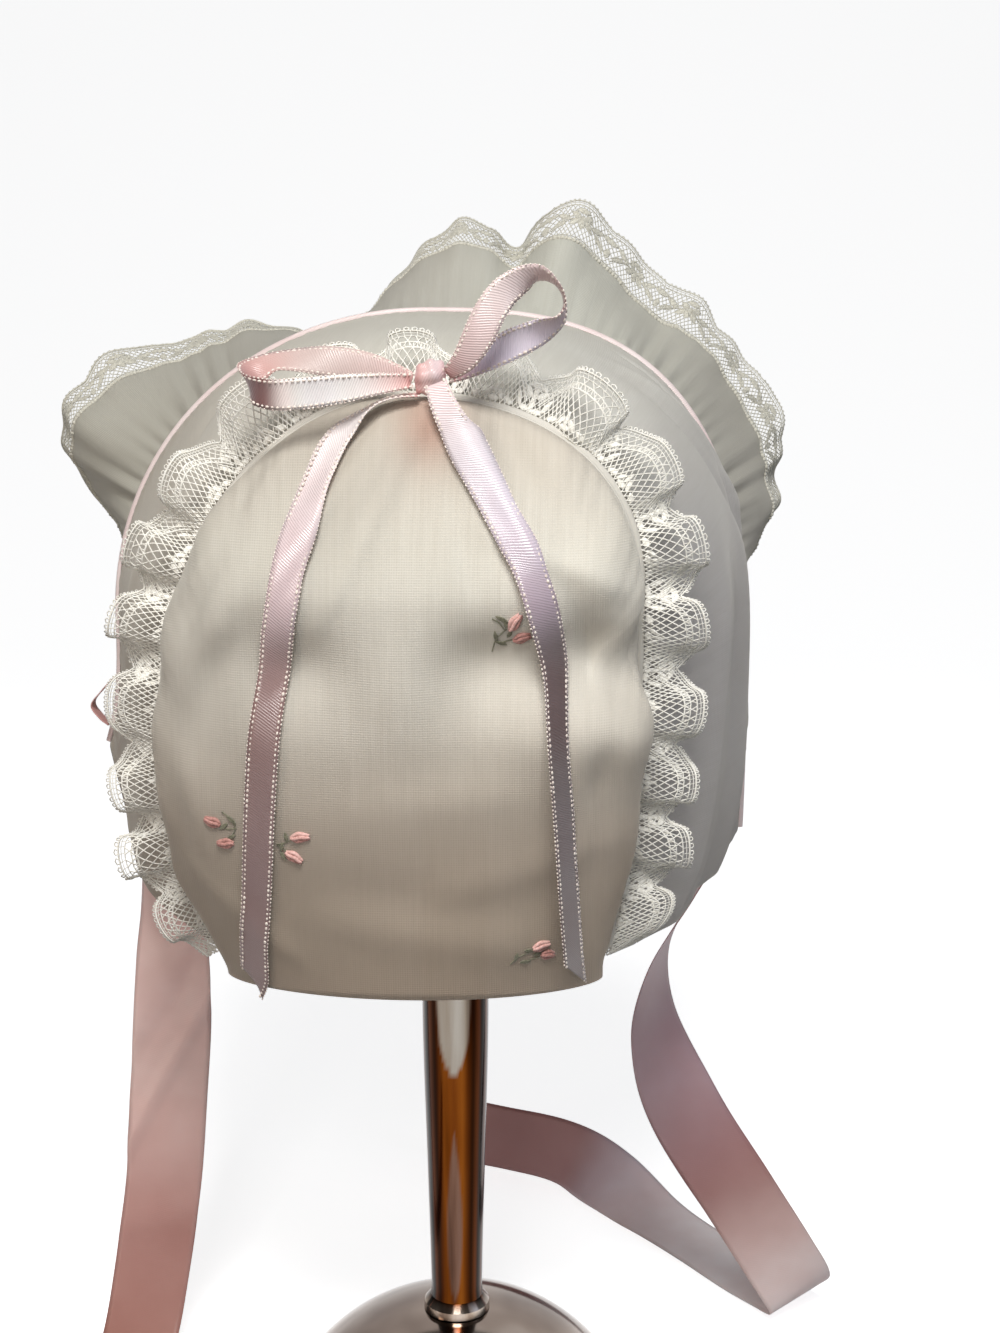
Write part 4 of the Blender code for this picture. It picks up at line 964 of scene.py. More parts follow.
def ruffleSurface():
    v = ruffle
    foot = archOutline(body["ruffleFootY"], v["columns"])
    outward = outwardOf(foot)
    along = np.linspace(0, 1, v["columns"])
    flare = readTable(flareRows, along)
    total = v["cloth"] + v["lace"]
    levels = np.arange(round(total / v["step"]) + 1) * v["step"]
    points = np.zeros((len(levels), v["columns"], 3))
    place = foot.copy()
    for i, width in enumerate(levels):
        points[i] = place
        t = np.clip((width - v["turnFrom"]) / (v["turnTo"] - v["turnFrom"]), 0, 1)
        angle = flare[:, 0] + (flare[:, 1] - flare[:, 0]) * t * t * (3 - 2 * t)
        angle = angle + v["rippleAngle"] * width / total * np.sin(math.tau * v["ripples"] * along)
        angle = np.radians(angle)[:, None]
        place = place + (outward * np.sin(angle) + np.array((0.0, 1.0, 0.0)) * np.cos(angle)) * v["step"]
    normals = -gridNormals(points)
    w = levels[:, None]
    gather = np.sin(math.tau * v["gathers"] * along + v["gatherDrift"] * wander(31, along, (3, 8, 13)))
    gather = gather * (1 + v["gatherVary"] * wander(32, along, (11, 17)))
    crease = np.sin(math.tau * v["creases"] * along + v["creaseDrift"] * wander(33, along, (4, 6, 11)))
    crease = np.sign(crease) * np.abs(crease) ** v["creasePower"]
    crease = crease * (1 + v["creaseVary"] * wander(34, along, (5, 9)))
    height = v["gatherHeight"] * gather * np.exp(-w / v["gatherReach"]) * np.clip(w / 0.001, 0, 1)
    height = height + v["creaseHeight"] * crease * np.exp(-w / v["creaseReach"]) * np.clip(w / 0.002, 0, 1)
    waver = v["waver"] * wander(35, along, (21, 29, 38))
    height = height + waver * np.clip((w - v["waverFrom"]) / v["waverOver"], 0, 1)
    return points + normals * height[:, :, None], levels


rufflePoints, ruffleLevels = ruffleSurface()
joinRow = round(ruffle["cloth"] / ruffle["step"])


def makeRuffle():
    points = rufflePoints[:joinRow + 1][:, ::2]
    fine = ruffle["fineRows"]
    keep = np.unique(np.concatenate([np.arange(fine), np.arange(fine, joinRow + 1, 2), [joinRow]]))
    points = points[keep]
    s = np.linspace(0, ruffle["flatLength"], points.shape[1]) / mm
    uv = np.stack(np.meshgrid(s, ruffleLevels[keep] / mm), axis=-1)
    piece = gridMesh("frontRuffle", points, uv, batiste, flip=True)
    paintShadeAlong(piece, ruffle["tone"], points)
    return giveWall(piece, ruffle["wall"], 0.0)


rufflePiece = makeRuffle()

rufflePattern = {
    "repeat": 0.0240, "width": 0.0143, "foot": 0.0012, "step": 0.0010, "bar": 0.0012,
    "scallop": 0.0013, "ladder": 0.0015, "ladderBar": 0.0015, "edgeRadius": 0.00024,
    "archHigh": 0.0078, "archBand": 0.0011, "archBar": 0.034,
    "net": 0.00170, "slant": 0.0085, "netSamples": 12, "netRadius": 0.00015,
    "picot": 0.0017, "picotSize": 0.0006, "picotRadius": 0.00017,
    "leaves": (
        (0, 0.52, 0.0046, 0.0012, 90), (-0.1, 0.5, 0.0044, 0.001, 35), (0.1, 0.5, 0.0044, 0.001, 145),
        (-0.09, 0.72, 0.0036, 0.0009, -30), (0.09, 0.72, 0.0036, 0.0009, 30),
        (0.28, 0.66, 0.0056, 0.0009, 24), (-0.28, 0.66, 0.0056, 0.0009, -24),
        (0.33, 0.4, 0.0048, 0.0008, -28), (-0.33, 0.4, 0.0048, 0.0008, 28),
        (0.5, 0.78, 0.006, 0.001, 0), (0.5, 0.34, 0.0034, 0.001, 90), (0, 0.86, 0.005, 0.0009, 0),
    ),
}
lacePoints = rufflePoints[joinRow:]
ruffleLaceSurface = {"points": lacePoints, "normals": gridNormals(lacePoints),
                     "length": ruffle["flatLength"], "width": ruffle["lace"]}
ruffleLacePiece = makeLace("ruffleLace", ruffleLaceSurface, rufflePattern, ruffleThread)
print("ruffle and its lace:", len(ruffleLacePiece.data.polygons), "faces")

# The rolled and whipped hem where the lace is joined to the ruffle
join = {"rollRadius": 0.00055, "whipSpacing": 0.0011, "whipLength": 0.0013, "whipRadius": 0.00022,
        "whipWobble": 0.2, "rollSides": 7, "seed": 4}


def makeJoin():
    line = rufflePoints[joinRow][::3]
    roll = threads("ruffleRoll", [(line, join["rollRadius"])], ruffleThread, sides=join["rollSides"])
    whip = stitches("ruffleWhip", [line], ruffleThread, join["whipSpacing"], join["whipLength"],
                    join["rollRadius"] + join["whipRadius"], join["whipWobble"], join["seed"])
    return joined("ruffleJoin", [roll, whip])


joinPiece = makeJoin()

# Pink satin piping between the band and the ruffle
piping = {"points": 260, "sides": 12}


def makePiping():
    line = archOutline(body["pipingY"], piping["points"])
    piece = threads("pinkPiping", [(line, body["pipingRadius"])], pipingSatin, sides=piping["sides"])
    layer = piece.data.uv_layers.new(name="cloth")
    coords = np.array([v.co for v in piece.data.vertices])
    loops = np.zeros(len(piece.data.loops), int)
    piece.data.loops.foreach_get("vertex_index", loops)
    layer.data.foreach_set("uv", (coords[loops][:, [0, 2]] / mm).astype(np.float32).reshape(-1))
    return plain(piece)


pipingPiece = makePiping()


# the corded seam between the back panel, its lace and the band
def makeSeamRoll():
    runs = []
    for y, out, radius in panel["seamCords"]:
        line = archOutline(y, panel["cordSteps"])[2:-2]
        runs.append((line + outwardOf(line) * out, radius))
    return plain(threads("panelSeam", runs, batiste, sides=panel["cordSides"]))


seamPiece = makeSeamRoll()
print("piping done")

# Ribbon stations in millimetres: middle, direction across, width
leftLoop = (
    (-5.5, -50.6, 280, 0, 0, 1, 3.2), (-9.5, -49.6, 281.2, 0, 0.1, 1, 4.6),
    (-16, -48.6, 282.8, 0, 0.2, 1, 6.4), (-23, -48.4, 283.8, 0, 0.3, 1, 7),
    (-31, -48.4, 284.3, 0, 0.7, 0.7, 7), (-37.5, -49.4, 283.8, -0.1, 0.9, 0.6, 7),
    (-41.6, -53.2, 281.2, -0.3, 0.4, 0.8, 7), (-41, -57.5, 278.5, -0.3, -0.1, 0.9, 7),
    (-36, -60, 277.3, -0.2, -0.2, 1, 7), (-29, -60.5, 277.6, 0, -0.2, 1, 7),
    (-20, -59, 278.6, 0, -0.1, 1, 6.2), (-12, -56.6, 279.5, 0, 0, 1, 4.6),
    (-5.6, -54.2, 280, 0, 0, 1, 3.2),
)
rightLoop = (
    (2.8, -54.4, 281.4, 0.8, 0, -0.6, 3.2), (6.5, -57, 284.6, 0.8, 0, -0.5, 5.4),
    (9.8, -58.5, 290, 0.9, 0, -0.4, 7), (12.6, -58.5, 295.6, 0.9, 0.1, -0.5, 7),
    (16.2, -57.5, 300, 0.7, 0.4, -0.5, 7), (21.8, -55.5, 302.8, 0.3, 0.7, -0.5, 7),
    (26.4, -53, 301, 0.1, 1, -0.2, 7), (28.3, -51, 297.6, 0, 1, -0.1, 7),
    (27.2, -49.8, 293.6, 0.1, 0.9, -0.4, 7), (22.4, -49, 290.4, 0.2, 0.5, -0.8, 7),
    (17, -48.8, 287.9, 0.3, 0.2, -0.9, 7), (11, -49.2, 284.8, 0.4, 0, -0.9, 6),
    (6.2, -50, 282.3, 0.4, 0, -0.9, 4.4), (2.8, -50.6, 280.9, 0.4, 0, -0.9, 3.2),
)
leftTail = (
    (-3.6, -53.6, 276.7, 0, -1, 0, 4), (-9.5, -53.4, 276.2, 0.3, -0.9, 0.1, 5.4),
    (-16, -55.4, 273, 0.7, -0.5, 0.5, 6.4), (-22.2, -55, 265.5, 0.9, -0.2, 0.4, 7),
    (-28.6, -50, 248.5, 1, 0, 0.2, 7), (-33.2, -50, 230, 1, 0, 0.2, 7),
    (-36.6, -50, 209, 1, 0, 0.1, 7), (-38.8, -50, 188, 1, 0, 0.1, 7),
    (-40.6, -50, 167, 1, 0, 0.1, 7), (-42.2, -50, 151, 1, 0.1, 0.1, 7),
    (-42.6, -50, 144, 1, 0.1, 0.1, 7), (-42.9, -50, 135, 1, 0.1, 0.1, 7),
)
rightTail = (
    (0.2, -57, 279.6, 1, 0, 0.4, 5), (1.9, -58.4, 275.4, 1, 0, 0.4, 5.8),
    (4.6, -59.4, 270.4, 0.9, 0, 0.5, 6.8), (9, -50, 262, 0.9, 0, 0.5, 7),
    (14.6, -50, 252, 0.9, 0.1, 0.5, 7), (20.6, -50, 242, 0.9, 0.1, 0.4, 7),
    (24.4, -50, 230, 0.9, 0.3, 0.2, 7), (26.6, -50, 216, 0.8, 0.5, 0.1, 6.8),
    (28, -50, 198, 0.8, 0.5, 0, 6.4), (29, -50, 180, 0.8, 0.5, 0, 6.2),
    (29.8, -50, 165, 0.8, 0.4, 0, 6.4), (30.6, -50, 151, 0.9, 0.3, 0, 6),
    (31.4, -50, 139.4, 0.9, 0.3, 0, 5.6),
)
leftTie = (
    (-98, 28, 190, -0.12, 1, 0, 22), (-97.5, 28, 178, -0.12, 1, 0, 22),
    (-92, 27, 162, -0.3, 1, 0, 22), (-84.5, 24, 145, -0.6, 0.8, 0, 22),
    (-80.5, 21.5, 129, -0.85, 0.5, 0, 22), (-80, 20.5, 114, -0.97, 0.2, 0, 22),
    (-80.6, 20, 98, -1, 0, -0.1, 22), (-82.4, 20, 76, -1, 0, -0.1, 22),
    (-84.5, 19, 50, -1, 0.1, -0.1, 22), (-88.5, 16, 22, -1, 0.1, -0.1, 22),
    (-91, 9, 6, -1, 0.1, -0.05, 22), (-93, -6, 1.2, -1, 0.15, 0, 22),
    (-97.5, -30, 1, -1, 0.25, 0, 22), (-105, -55, 1, -1, 0.35, 0, 22),
    (-116, -80, 1, -1, 0.45, 0, 22), (-130, -105, 1, -1, 0.5, 0, 22),
    (-145, -130, 1, -1, 0.5, 0, 22),
)
rightTie = (
    (76, 29, 172, 0.12, 1, 0, 22), (76, 29, 158, 0.12, 1, 0, 22),
    (66, 31, 136, 0.2, 1, 0, 22), (55, 35, 113, 0.3, 0.95, 0, 22),
    (54, 37.5, 92, 0.6, 0.8, 0.1, 22), (63.5, 38, 66, 0.8, 0.3, 0.5, 22),
    (79.5, 37.5, 40, 0.84, 0.1, 0.5, 22), (92.5, 37.5, 19, 0.8, 0.2, 0.5, 22),
    (98.5, 40, 7.4, 0.8, 0.4, 0.36, 22), (95, 47.5, 2.6, 0.83, 0.52, 0.08, 22),
    (85.5, 60, 1.1, 0.84, 0.55, 0, 22), (72, 78.5, 1, 0.84, 0.55, 0, 22),
    (57, 97, 2.2, 0.78, 0.6, 0.12, 22), (43, 110, 7.6, 0.5, 0.55, 0.6, 22),
    (28, 121, 11.6, 0.1, 0.2, 1, 22), (8, 131, 11.7, 0, 0.1, 1, 22),
    (-14, 139, 11.7, 0, 0.2, 1, 22), (-34, 145, 11.7, 0, 0.2, 1, 22),
)
cornerTab = (
    (-99.2, 39, 178, 0, 1, 0, 4), (-101.8, 39.5, 180, 0, 1, 0, 4.8),
    (-104.2, 40, 183.6, 0, 1, 0, 5), (-101.2, 39.5, 187.8, 0, 1, 0, 4.8),
    (-98.1, 39, 191.2, 0, 1, 0, 4),
)
ribbon = {
    "spacing": 0.0009, "across": 7, "wall": 0.00022, "cup": 0.00025, "tieLength": 0.340,
    "restHeight": 0.0016, "samples": 1501, "cutFrom": 0.8,
    # stitches a little inside each edge, and finer picots on the rim itself
    "edgeShare": 0.09, "picotSpacing": 0.00125, "picotLength": 0.0009, "picotRadius": 0.00033,
    "rimSpacing": 0.0010, "rimLength": 0.0005, "rimRadius": 0.00020,
    "picotWobble": 0.25, "rimWobble": 0.3, "smoothing": 8,
    # how far a tail stands up on its right edge, in degrees at each height
    "turns": {
        "bowTailLeft": ((0.130, 0), (0.290, 0)),
        "bowTailRight": ((0.139, 34), (0.150, 44), (0.185, 36), (0.215, 34), (0.236, 10), (0.250, 0),
                         (0.29, 0)),
    },
    # the slanted cut of a tail's end: how much shorter its left edge and its right edge are
    "cuts": {"bowTailLeft": (0.0085, 0.0012), "bowTailRight": (0.0080, 0.0)},
    # colour along each ribbon: its lilac and pink, with painted shade where it turns from the light and
    # painted highlights where it faces it
    "shadesAndColours": {
        "bowLoopLeft": ((0.0, "DDB4B0"), (0.1, "DEC8C3"), (0.3, "D2BFB9"), (0.42, "D0A8A1"), (0.49, "B48A86"),
                        (0.55, "8E6866"), (0.60, "86605D"), (0.66, "FFF6F2"), (0.85, "FFFBF8"),
                        (0.95, "F9DAD5"), (1.0, "E8AEA9")),
        "bowLoopRight": ((0.0, "D9ACAA"), (0.06, "E3C8C6"), (0.22, "E6D3D1"), (0.32, "F2E4E2"),
                         (0.45, "E6D2D1"), (0.58, "AC8A8B"), (0.68, "F4EAF8"), (0.88, "EDE3F4"),
                         (1.0, "E3ABA9")),
        "bowTailLeft": ((0.0, "EDB5B0"), (0.05, "F6ECE9"), (0.2, "ECDFDF"), (0.38, "DFCBCE"),
                        (0.46, "A38886"), (0.72, "8A6E6C"), (1.0, "846864")),
        "bowTailRight": ((0.0, "F6E2E2"), (0.1, "EAE2E6"), (0.3, "DAD0DC"), (0.38, "B5A6B2"),
                         (0.45, "706163"), (0.75, "6C5D5E"), (1.0, "70605C")),
        "bowKnot": ((0.0, "E5AEAA"), (0.35, "ECC9C6"), (0.7, "E9D6D8"), (1.0, "E2BCBD")),
        "tieLeft": ((0.0, "FFE8E2"), (0.26, "FFE6E0"), (0.36, "FFE2DB"), (0.45, "D2A79F"), (0.6, "AA7C70"),
                    (0.75, "A87A6C"), (1.0, "A07064")),
        "tieRight": ((0.0, "A8665E"), (0.10, "BC8E8C"), (0.16, "D0B3B8"), (0.30, "C8AEB6"), (0.40, "A87E7C"),
                     (0.47, "DCC6C2"), (0.54, "FFF8F6"), (0.76, "FFF8FA"), (0.82, "E9E0EA"), (0.86, "C49B9D"),
                     (1.0, "B08482")),
        "cornerTab": ((0.0, "CFA29E"), (1.0, "D9B0AC")),
    },
}


def ribbonPath(stations, spacing, length=None):
    rows = np.array(stations, float)
    chord = np.concatenate(([0.0], np.cumsum(np.linalg.norm(np.diff(rows[:, :3], axis=0), axis=1))))
    values = readTable(np.column_stack([chord, rows]), np.linspace(0, chord[-1], ribbon["samples"]))
    places = values[:, :3] * mm
    travelled = np.concatenate(([0.0], np.cumsum(np.linalg.norm(np.diff(places, axis=0), axis=1))))
    end = travelled[-1] if length is None else min(length, travelled[-1])
    wanted = np.linspace(0.0, end, max(2, round(end / spacing) + 1))
    path = np.stack([np.interp(wanted, travelled, places[:, k]) for k in range(3)], axis=1)
    across = np.stack([np.interp(wanted, travelled, values[:, k]) for k in (3, 4, 5)], axis=1)
    widths = np.interp(wanted, travelled, values[:, 6]) * mm
    along = np.gradient(path, axis=0)
    along /= np.linalg.norm(along, axis=1)[:, None]
    across -= along * np.sum(across * along, axis=1)[:, None]
    across /= np.linalg.norm(across, axis=1)[:, None]
    return path, across, widths, np.cross(along, across), wanted


def ribbonGrid(path, across, widths, facing, count, cup):
    side = np.linspace(-0.5, 0.5, count)[:, None, None]
    points = path[None] + across[None] * widths[None, :, None] * side
    return points + facing[None] * cup * (4 * side ** 2 - 0.5)


def ribbonUv(widths, travelled, count):
    side = np.linspace(-0.5, 0.5, count)[:, None] * widths[None, :] / mm
    return np.stack([side, np.broadcast_to(travelled[None, :] / mm, side.shape)], axis=-1)


def picotEdges(name, points, seed):
    v = ribbon
    inner = points[0] + (points[-1] - points[0]) * v["edgeShare"]
    outer = points[-1] + (points[0] - points[-1]) * v["edgeShare"]
    first = stitches(name + "First", [inner, outer], picotThread, v["picotSpacing"],
                     v["picotLength"], v["picotRadius"], v["picotWobble"], seed)
    rim = stitches(name + "Rim", [points[0], points[-1]], picotThread, v["rimSpacing"],
                   v["rimLength"], v["rimRadius"], v["rimWobble"], seed + 1)
    return [first, rim]


def ribbonCloth(name, shadesAndColours, points, widths, travelled, material, wall):
    piece = gridMesh(name, points, ribbonUv(widths, travelled, len(points)), material)
    # the ribbon's colour, with its painted shade and painted highlights along it
    colours = shadeAndColourAlong(ribbon["shadesAndColours"][shadesAndColours], travelled / travelled[-1])
    paint(piece, np.broadcast_to(colours[None], points.shape))
    return giveWall(piece, wall, 0.0)


# rests the tail on the panel, then lifts its left edge where it stands up
def layOnPanel(points, angles, widths):
    rest = ribbon["restHeight"]
    for i in range(points.shape[0]):
        for k in range(points.shape[1]):
            place = Vector(points[i, k])
            hit = panelTree.ray_cast(Vector((place.x, -0.2, place.z)), Vector((0, 1, 0)))[0]
            if hit is not None:
                place.y = min(place.y, hit.y)
            nearest, normal, _, _ = panelTree.find_nearest(place)
            if normal.y > 0:
                normal = -normal
            height = (place - nearest).dot(normal)
            if height < rest:
                place += normal * (rest - height)
            points[i, k] = place
    for _ in range(ribbon["smoothing"]):
        points[:, 1:-1] = 0.25 * points[:, :-2] + 0.5 * points[:, 1:-1] + 0.25 * points[:, 2:]
    rise = np.linspace(1.0, 0.0, points.shape[0])[:, None]
    points[:, :, 1] -= rise * (widths * np.sin(angles))[None, :]
    return points


def makeBowRibbon(name, stations, seed):
    path, across, widths, facing, travelled = ribbonPath(stations, ribbon["spacing"])
    count = ribbon["across"]
    onPanel = name in ribbon["turns"]
    if onPanel:
        angles = np.radians(readTable(ribbon["turns"][name], path[:, 2])[:, 0])
        points = ribbonGrid(path, across, widths * np.cos(angles), facing, count, 0.0)
        points = layOnPanel(points, angles, widths)
        leftCut, rightCut = ribbon["cuts"][name]
        for i in range(count):             # each lengthwise thread is cut where the slanted end crosses it
            t = i / (count - 1)
            end = travelled[-1] - (leftCut * (1 - t) + rightCut * t)
            start = ribbon["cutFrom"] * end
            kept = points[i].copy()
            squeezed = start + (travelled - start) * (end - start) / (travelled[-1] - start)
            wanted = np.where(travelled < start, travelled, squeezed)
            for axis in range(3):
                points[i, :, axis] = np.interp(wanted, travelled, kept[:, axis])
    else:
        points = ribbonGrid(path, across, widths, facing, count, ribbon["cup"])
    cloth = frozen(ribbonCloth(name + "Cloth", name, points, widths, travelled, bowSatin, ribbon["wall"]))
    return joined(name, [cloth] + picotEdges(name, points, seed))


bowPieces = [
    (makeBowRibbon("bowLoopLeft", leftLoop, 40), "bow_loop_left"),
    (makeBowRibbon("bowLoopRight", rightLoop, 50), "bow_loop_right"),
    (makeBowRibbon("bowTailLeft", leftTail, 60), "bow_tail_left"),
    (makeBowRibbon("bowTailRight", rightTail, 70), "bow_tail_right"),
]
print("bow ribbons done")

# The knot: a short tight band of the same ribbon wrapped around the middle of the bow
knot = {
    "centre": (-0.0013, -0.0526, 0.2806), "size": (0.0036, 0.0034, 0.0037), "turns": 40, "across": 13,
    "roundness": 0.55, "creases": ((0.09, 0, 5, 2), (0.08, 16, 2, 0)), "slant": 0.0006,
    "clothMm": (24, 7),                 # the cloth's length around the knot and its width
}


def makeKnot():
    c, size = Vector(knot["centre"]), knot["size"]
    rows, columns = knot["across"], knot["turns"]
    points = np.zeros((rows, columns + 1, 3))
    for i in range(rows):
        t = i / (rows - 1)
        side = 2 * t - 1
        pull = math.sqrt(max(0.0, 1 - side ** 2)) ** knot["roundness"]
        for k in range(columns + 1):
            angle = math.tau * k / columns
            crumple = 1 + sum(deep * math.sin(a * t + b * angle + c) for deep, a, b, c in knot["creases"])
            points[i, k] = (c.x + size[0] * side,
                            c.y + size[1] * pull * crumple * math.sin(angle),
                            c.z + size[2] * pull * crumple * math.cos(angle) + knot["slant"] * side)
    long, wide = knot["clothMm"]
    uv = np.stack(np.meshgrid(np.linspace(0, long, columns + 1), np.linspace(0, wide, rows)), axis=-1)
    shell = gridMesh("bowKnot", points, uv, bowSatin)
    across = np.linspace(0, 1, rows)
    paint(shell, np.broadcast_to(shadeAndColourAlong(ribbon["shadesAndColours"]["bowKnot"], across)[:, None], points.shape))
    shape = bmesh.new()
    shape.from_mesh(shell.data)
    bmesh.ops.remove_doubles(shape, verts=shape.verts, dist=1e-6)
    bmesh.ops.recalc_face_normals(shape, faces=shape.faces)
    shape.to_mesh(shell.data)
    shape.free()
    shell.data.shade_smooth()
    return shell


knotPiece = makeKnot()

# Wide ties, hemmed by their own selvedge. They start inside the band
tie = {
    "across": 15, "spacing": 0.0015, "wall": 0.00025, "clear": 0.0014, "below": 0.004,
    "tabAcross": 7, "tabSpacing": 0.0006,
    # creases: where each crosses the left edge and the right edge, its reach and height
    "creases": {
        "tieLeft": ((0.086, 0.134, 0.0050, 0.0013), (0.150, 0.160, 0.0060, 0.0006),
                    (0.07, 0.112, 0.006, -0.0009)),
        "tieRight": ((0.075, 0.100, 0.0060, 0.0006), (0.135, 0.110, 0.0070, 0.0005)),
    },
}


def makeTie(name, stations, side):
    path, across, widths, facing, travelled = ribbonPath(stations, tie["spacing"], ribbon["tieLength"])
    points = ribbonGrid(path, across, widths, facing, tie["across"], 0.0)
    share = np.linspace(0, 1, tie["across"])[:, None]
    for leftAt, rightAt, reach, rise in tie["creases"][name]:
        away = travelled[None] - leftAt - (rightAt - leftAt) * share
        points[:, :, 1] -= rise * np.exp(-(away / reach) ** 2)
    flat = points.reshape(-1, 3)
    rows = readTable(archRows, flat[:, 1])
    first = 2 if side < 0 else 7          # the left or the right side's columns of the sections
    wallX, spring, corner, tuck = rows[:, first], rows[:, first + 1], rows[:, first + 3], rows[:, first + 4]
    t = np.clip((spring - flat[:, 2]) / (spring - corner), 0, 1)
    limit = wallX - side * (tuck * t ** body["tuckPower"] + tie["clear"])
    above = flat[:, 2] > corner - tie["below"]
    bounded = np.minimum(flat[:, 0], limit) if side > 0 else np.maximum(flat[:, 0], limit)
    flat[:, 0] = np.where(above, bounded, flat[:, 0])
    points = flat.reshape(points.shape)
    return ribbonCloth(name, name, points, widths, travelled, tieSatin, tie["wall"])


tieLeftPiece = makeTie("tieLeft", leftTie, -1)
tieRightPiece = makeTie("tieRight", rightTie, 1)


def makeTab():
    path, across, widths, facing, travelled = ribbonPath(cornerTab, tie["tabSpacing"])
    points = ribbonGrid(path, across, widths, facing, tie["tabAcross"], 0.0)
    return ribbonCloth("cornerTab", "cornerTab", points, widths, travelled, tieSatin, tie["wall"])


tabPiece = makeTab()
print("ties done")

# Embroidered sprigs: bullion rosebuds, lazy-daisy leaves and thread stems, each in its own small
# frame on the cloth. Places and sizes are in millimetres from the sprig's middle.
sprigs = {
    "panel": (
        # the middle's x and z, buds (x, z, angle, length, deep), leaves (x, z, angle, length) and stems
        {"at": (17.6, 226.2), "buds": ((0.6, 2.6, 60, 4.6, 0), (2.2, -1.6, 20, 4.2, 1)),
         "leaves": ((-2.2, 3.4, 150, 3.4), (-1.2, 1.8, 120, 2.4), (-3.6, -1.2, 100, 3.2),
                    (-2.4, -3.2, 160, 2.8), (-0.6, -0.6, 60, 2)),
         "stems": (((-4.4, -5.6), (-3.6, -2.4), (-1.6, 0.4), (0.4, 2.0)),
                   ((-3.0, -3.4), (-0.6, -2.4), (1.8, -1.8)), ((-1.6, 0.6), (-3.0, 2.6), (-4.4, 3.6)))},
        {"at": (-50.2, 178.4), "buds": ((-0.8, 2.2, 160, 4.0, 1), (2.0, -3.0, 185, 4.0, 1)),
         "leaves": ((1.8, 1.2, 40, 2.6), (3.4, -1.4, 30, 2.6), (3.8, 3.0, 140, 3.0)),
         "stems": (((-0.8, 2.0), (2.2, 0.6), (4.8, 1.0)), ((4.8, 1.0), (3.4, 3.4), (1.6, 4.8)),
                   ((2.4, -2.8), (3.8, -0.8), (4.8, 1.0)))},
        {"at": (-33.0, 175.6), "buds": ((2.8, 2.8, 8, 4.6, 0), (1.0, -2.2, 330, 4.4, 0)),
         "leaves": ((-0.6, 2.6, 100, 2.4), (-1.8, 0.0, 70, 2.2), (-1.6, -2.2, 300, 2.4)),
         "stems": (((1.8, 2.6), (-0.8, 1.2), (-3.0, 0.6)), ((0.4, -2.0), (-1.4, -0.6), (-3.0, 0.6)))},
        {"at": (24.6, 149.4), "buds": ((-0.8, 1.6, 12, 4.4, 0), (1.2, -1.0, 350, 3.6, 1)),
         "leaves": ((-3.8, 0.8, 170, 2.6), (-6.8, -0.6, 80, 2.4), (-4.4, -2.2, 0, 2.6),
                    (-1.6, -0.4, 200, 2.2)),
         "stems": (((-8.0, -2.6), (-6.4, -0.8), (-4.0, 0.2), (-1.2, 1.2)),
                   ((-5.6, -2.4), (-3.0, -1.8), (0.6, -1.0)))},
    ),
    "band": (
        {"along": 0.772, "y": 0.033,      # share of the way over the band, and depth in metres
         "buds": ((0.4, -3.6, 280, 3.6, 0), (1.6, -6.0, 300, 3.0, 1)),
         "leaves": ((-0.4, 2.0, 100, 2.6), (0.8, 0.4, 60, 2.4), (-0.2, 4.2, 130, 2.2)),
         "stems": (((-0.6, 5.4), (0.2, 2.0), (0.6, -2.0), (1.2, -5.0)),)},
    ),
    # millimetres: bullion knots side by side, how high each lies, how thick, then leaves and stems
    "knots": ((-0.80, 0.30), (0.0, 0.58), (0.80, 0.30)), "budBow": 2.4, "budWaver": 0.12,
    "budRadius": 0.52, "budTaper": 0.55, "wraps": 7, "wrapDepth": 0.10,
    "leafWide": 0.62, "leafRadius": 0.24, "leafLift": 0.22, "stemRadius": 0.17, "stemLift": 0.12,
}


# a flat sprig drawing brought onto a cloth: gives the place and the outward direction
def clothFrame(tree, centre, toward):
    hit, normal, _, _ = tree.ray_cast(Vector(centre) - Vector(toward) * 0.1, Vector(toward))
    if hit is None:
        hit, normal, _, _ = tree.find_nearest(Vector(centre))
    if normal.dot(Vector(toward)) > 0:
        normal = -normal
    up = Vector((0, 0, 1))
    up = (up - normal * up.dot(normal)).normalized()
    right = up.cross(normal).normalized()
    return hit, right, up, normal


def layOn(tree, frameOf, flatPoints, lift):
    hit, right, up, normal = frameOf
    laid = []
    for x, z in flatPoints:
        spot = hit + right * (x * mm) + up * (z * mm)
        found = tree.ray_cast(spot + normal * 0.02, -normal)[0] or spot
        laid.append(found + normal * (lift * mm))
    return np.array([tuple(p) for p in laid])


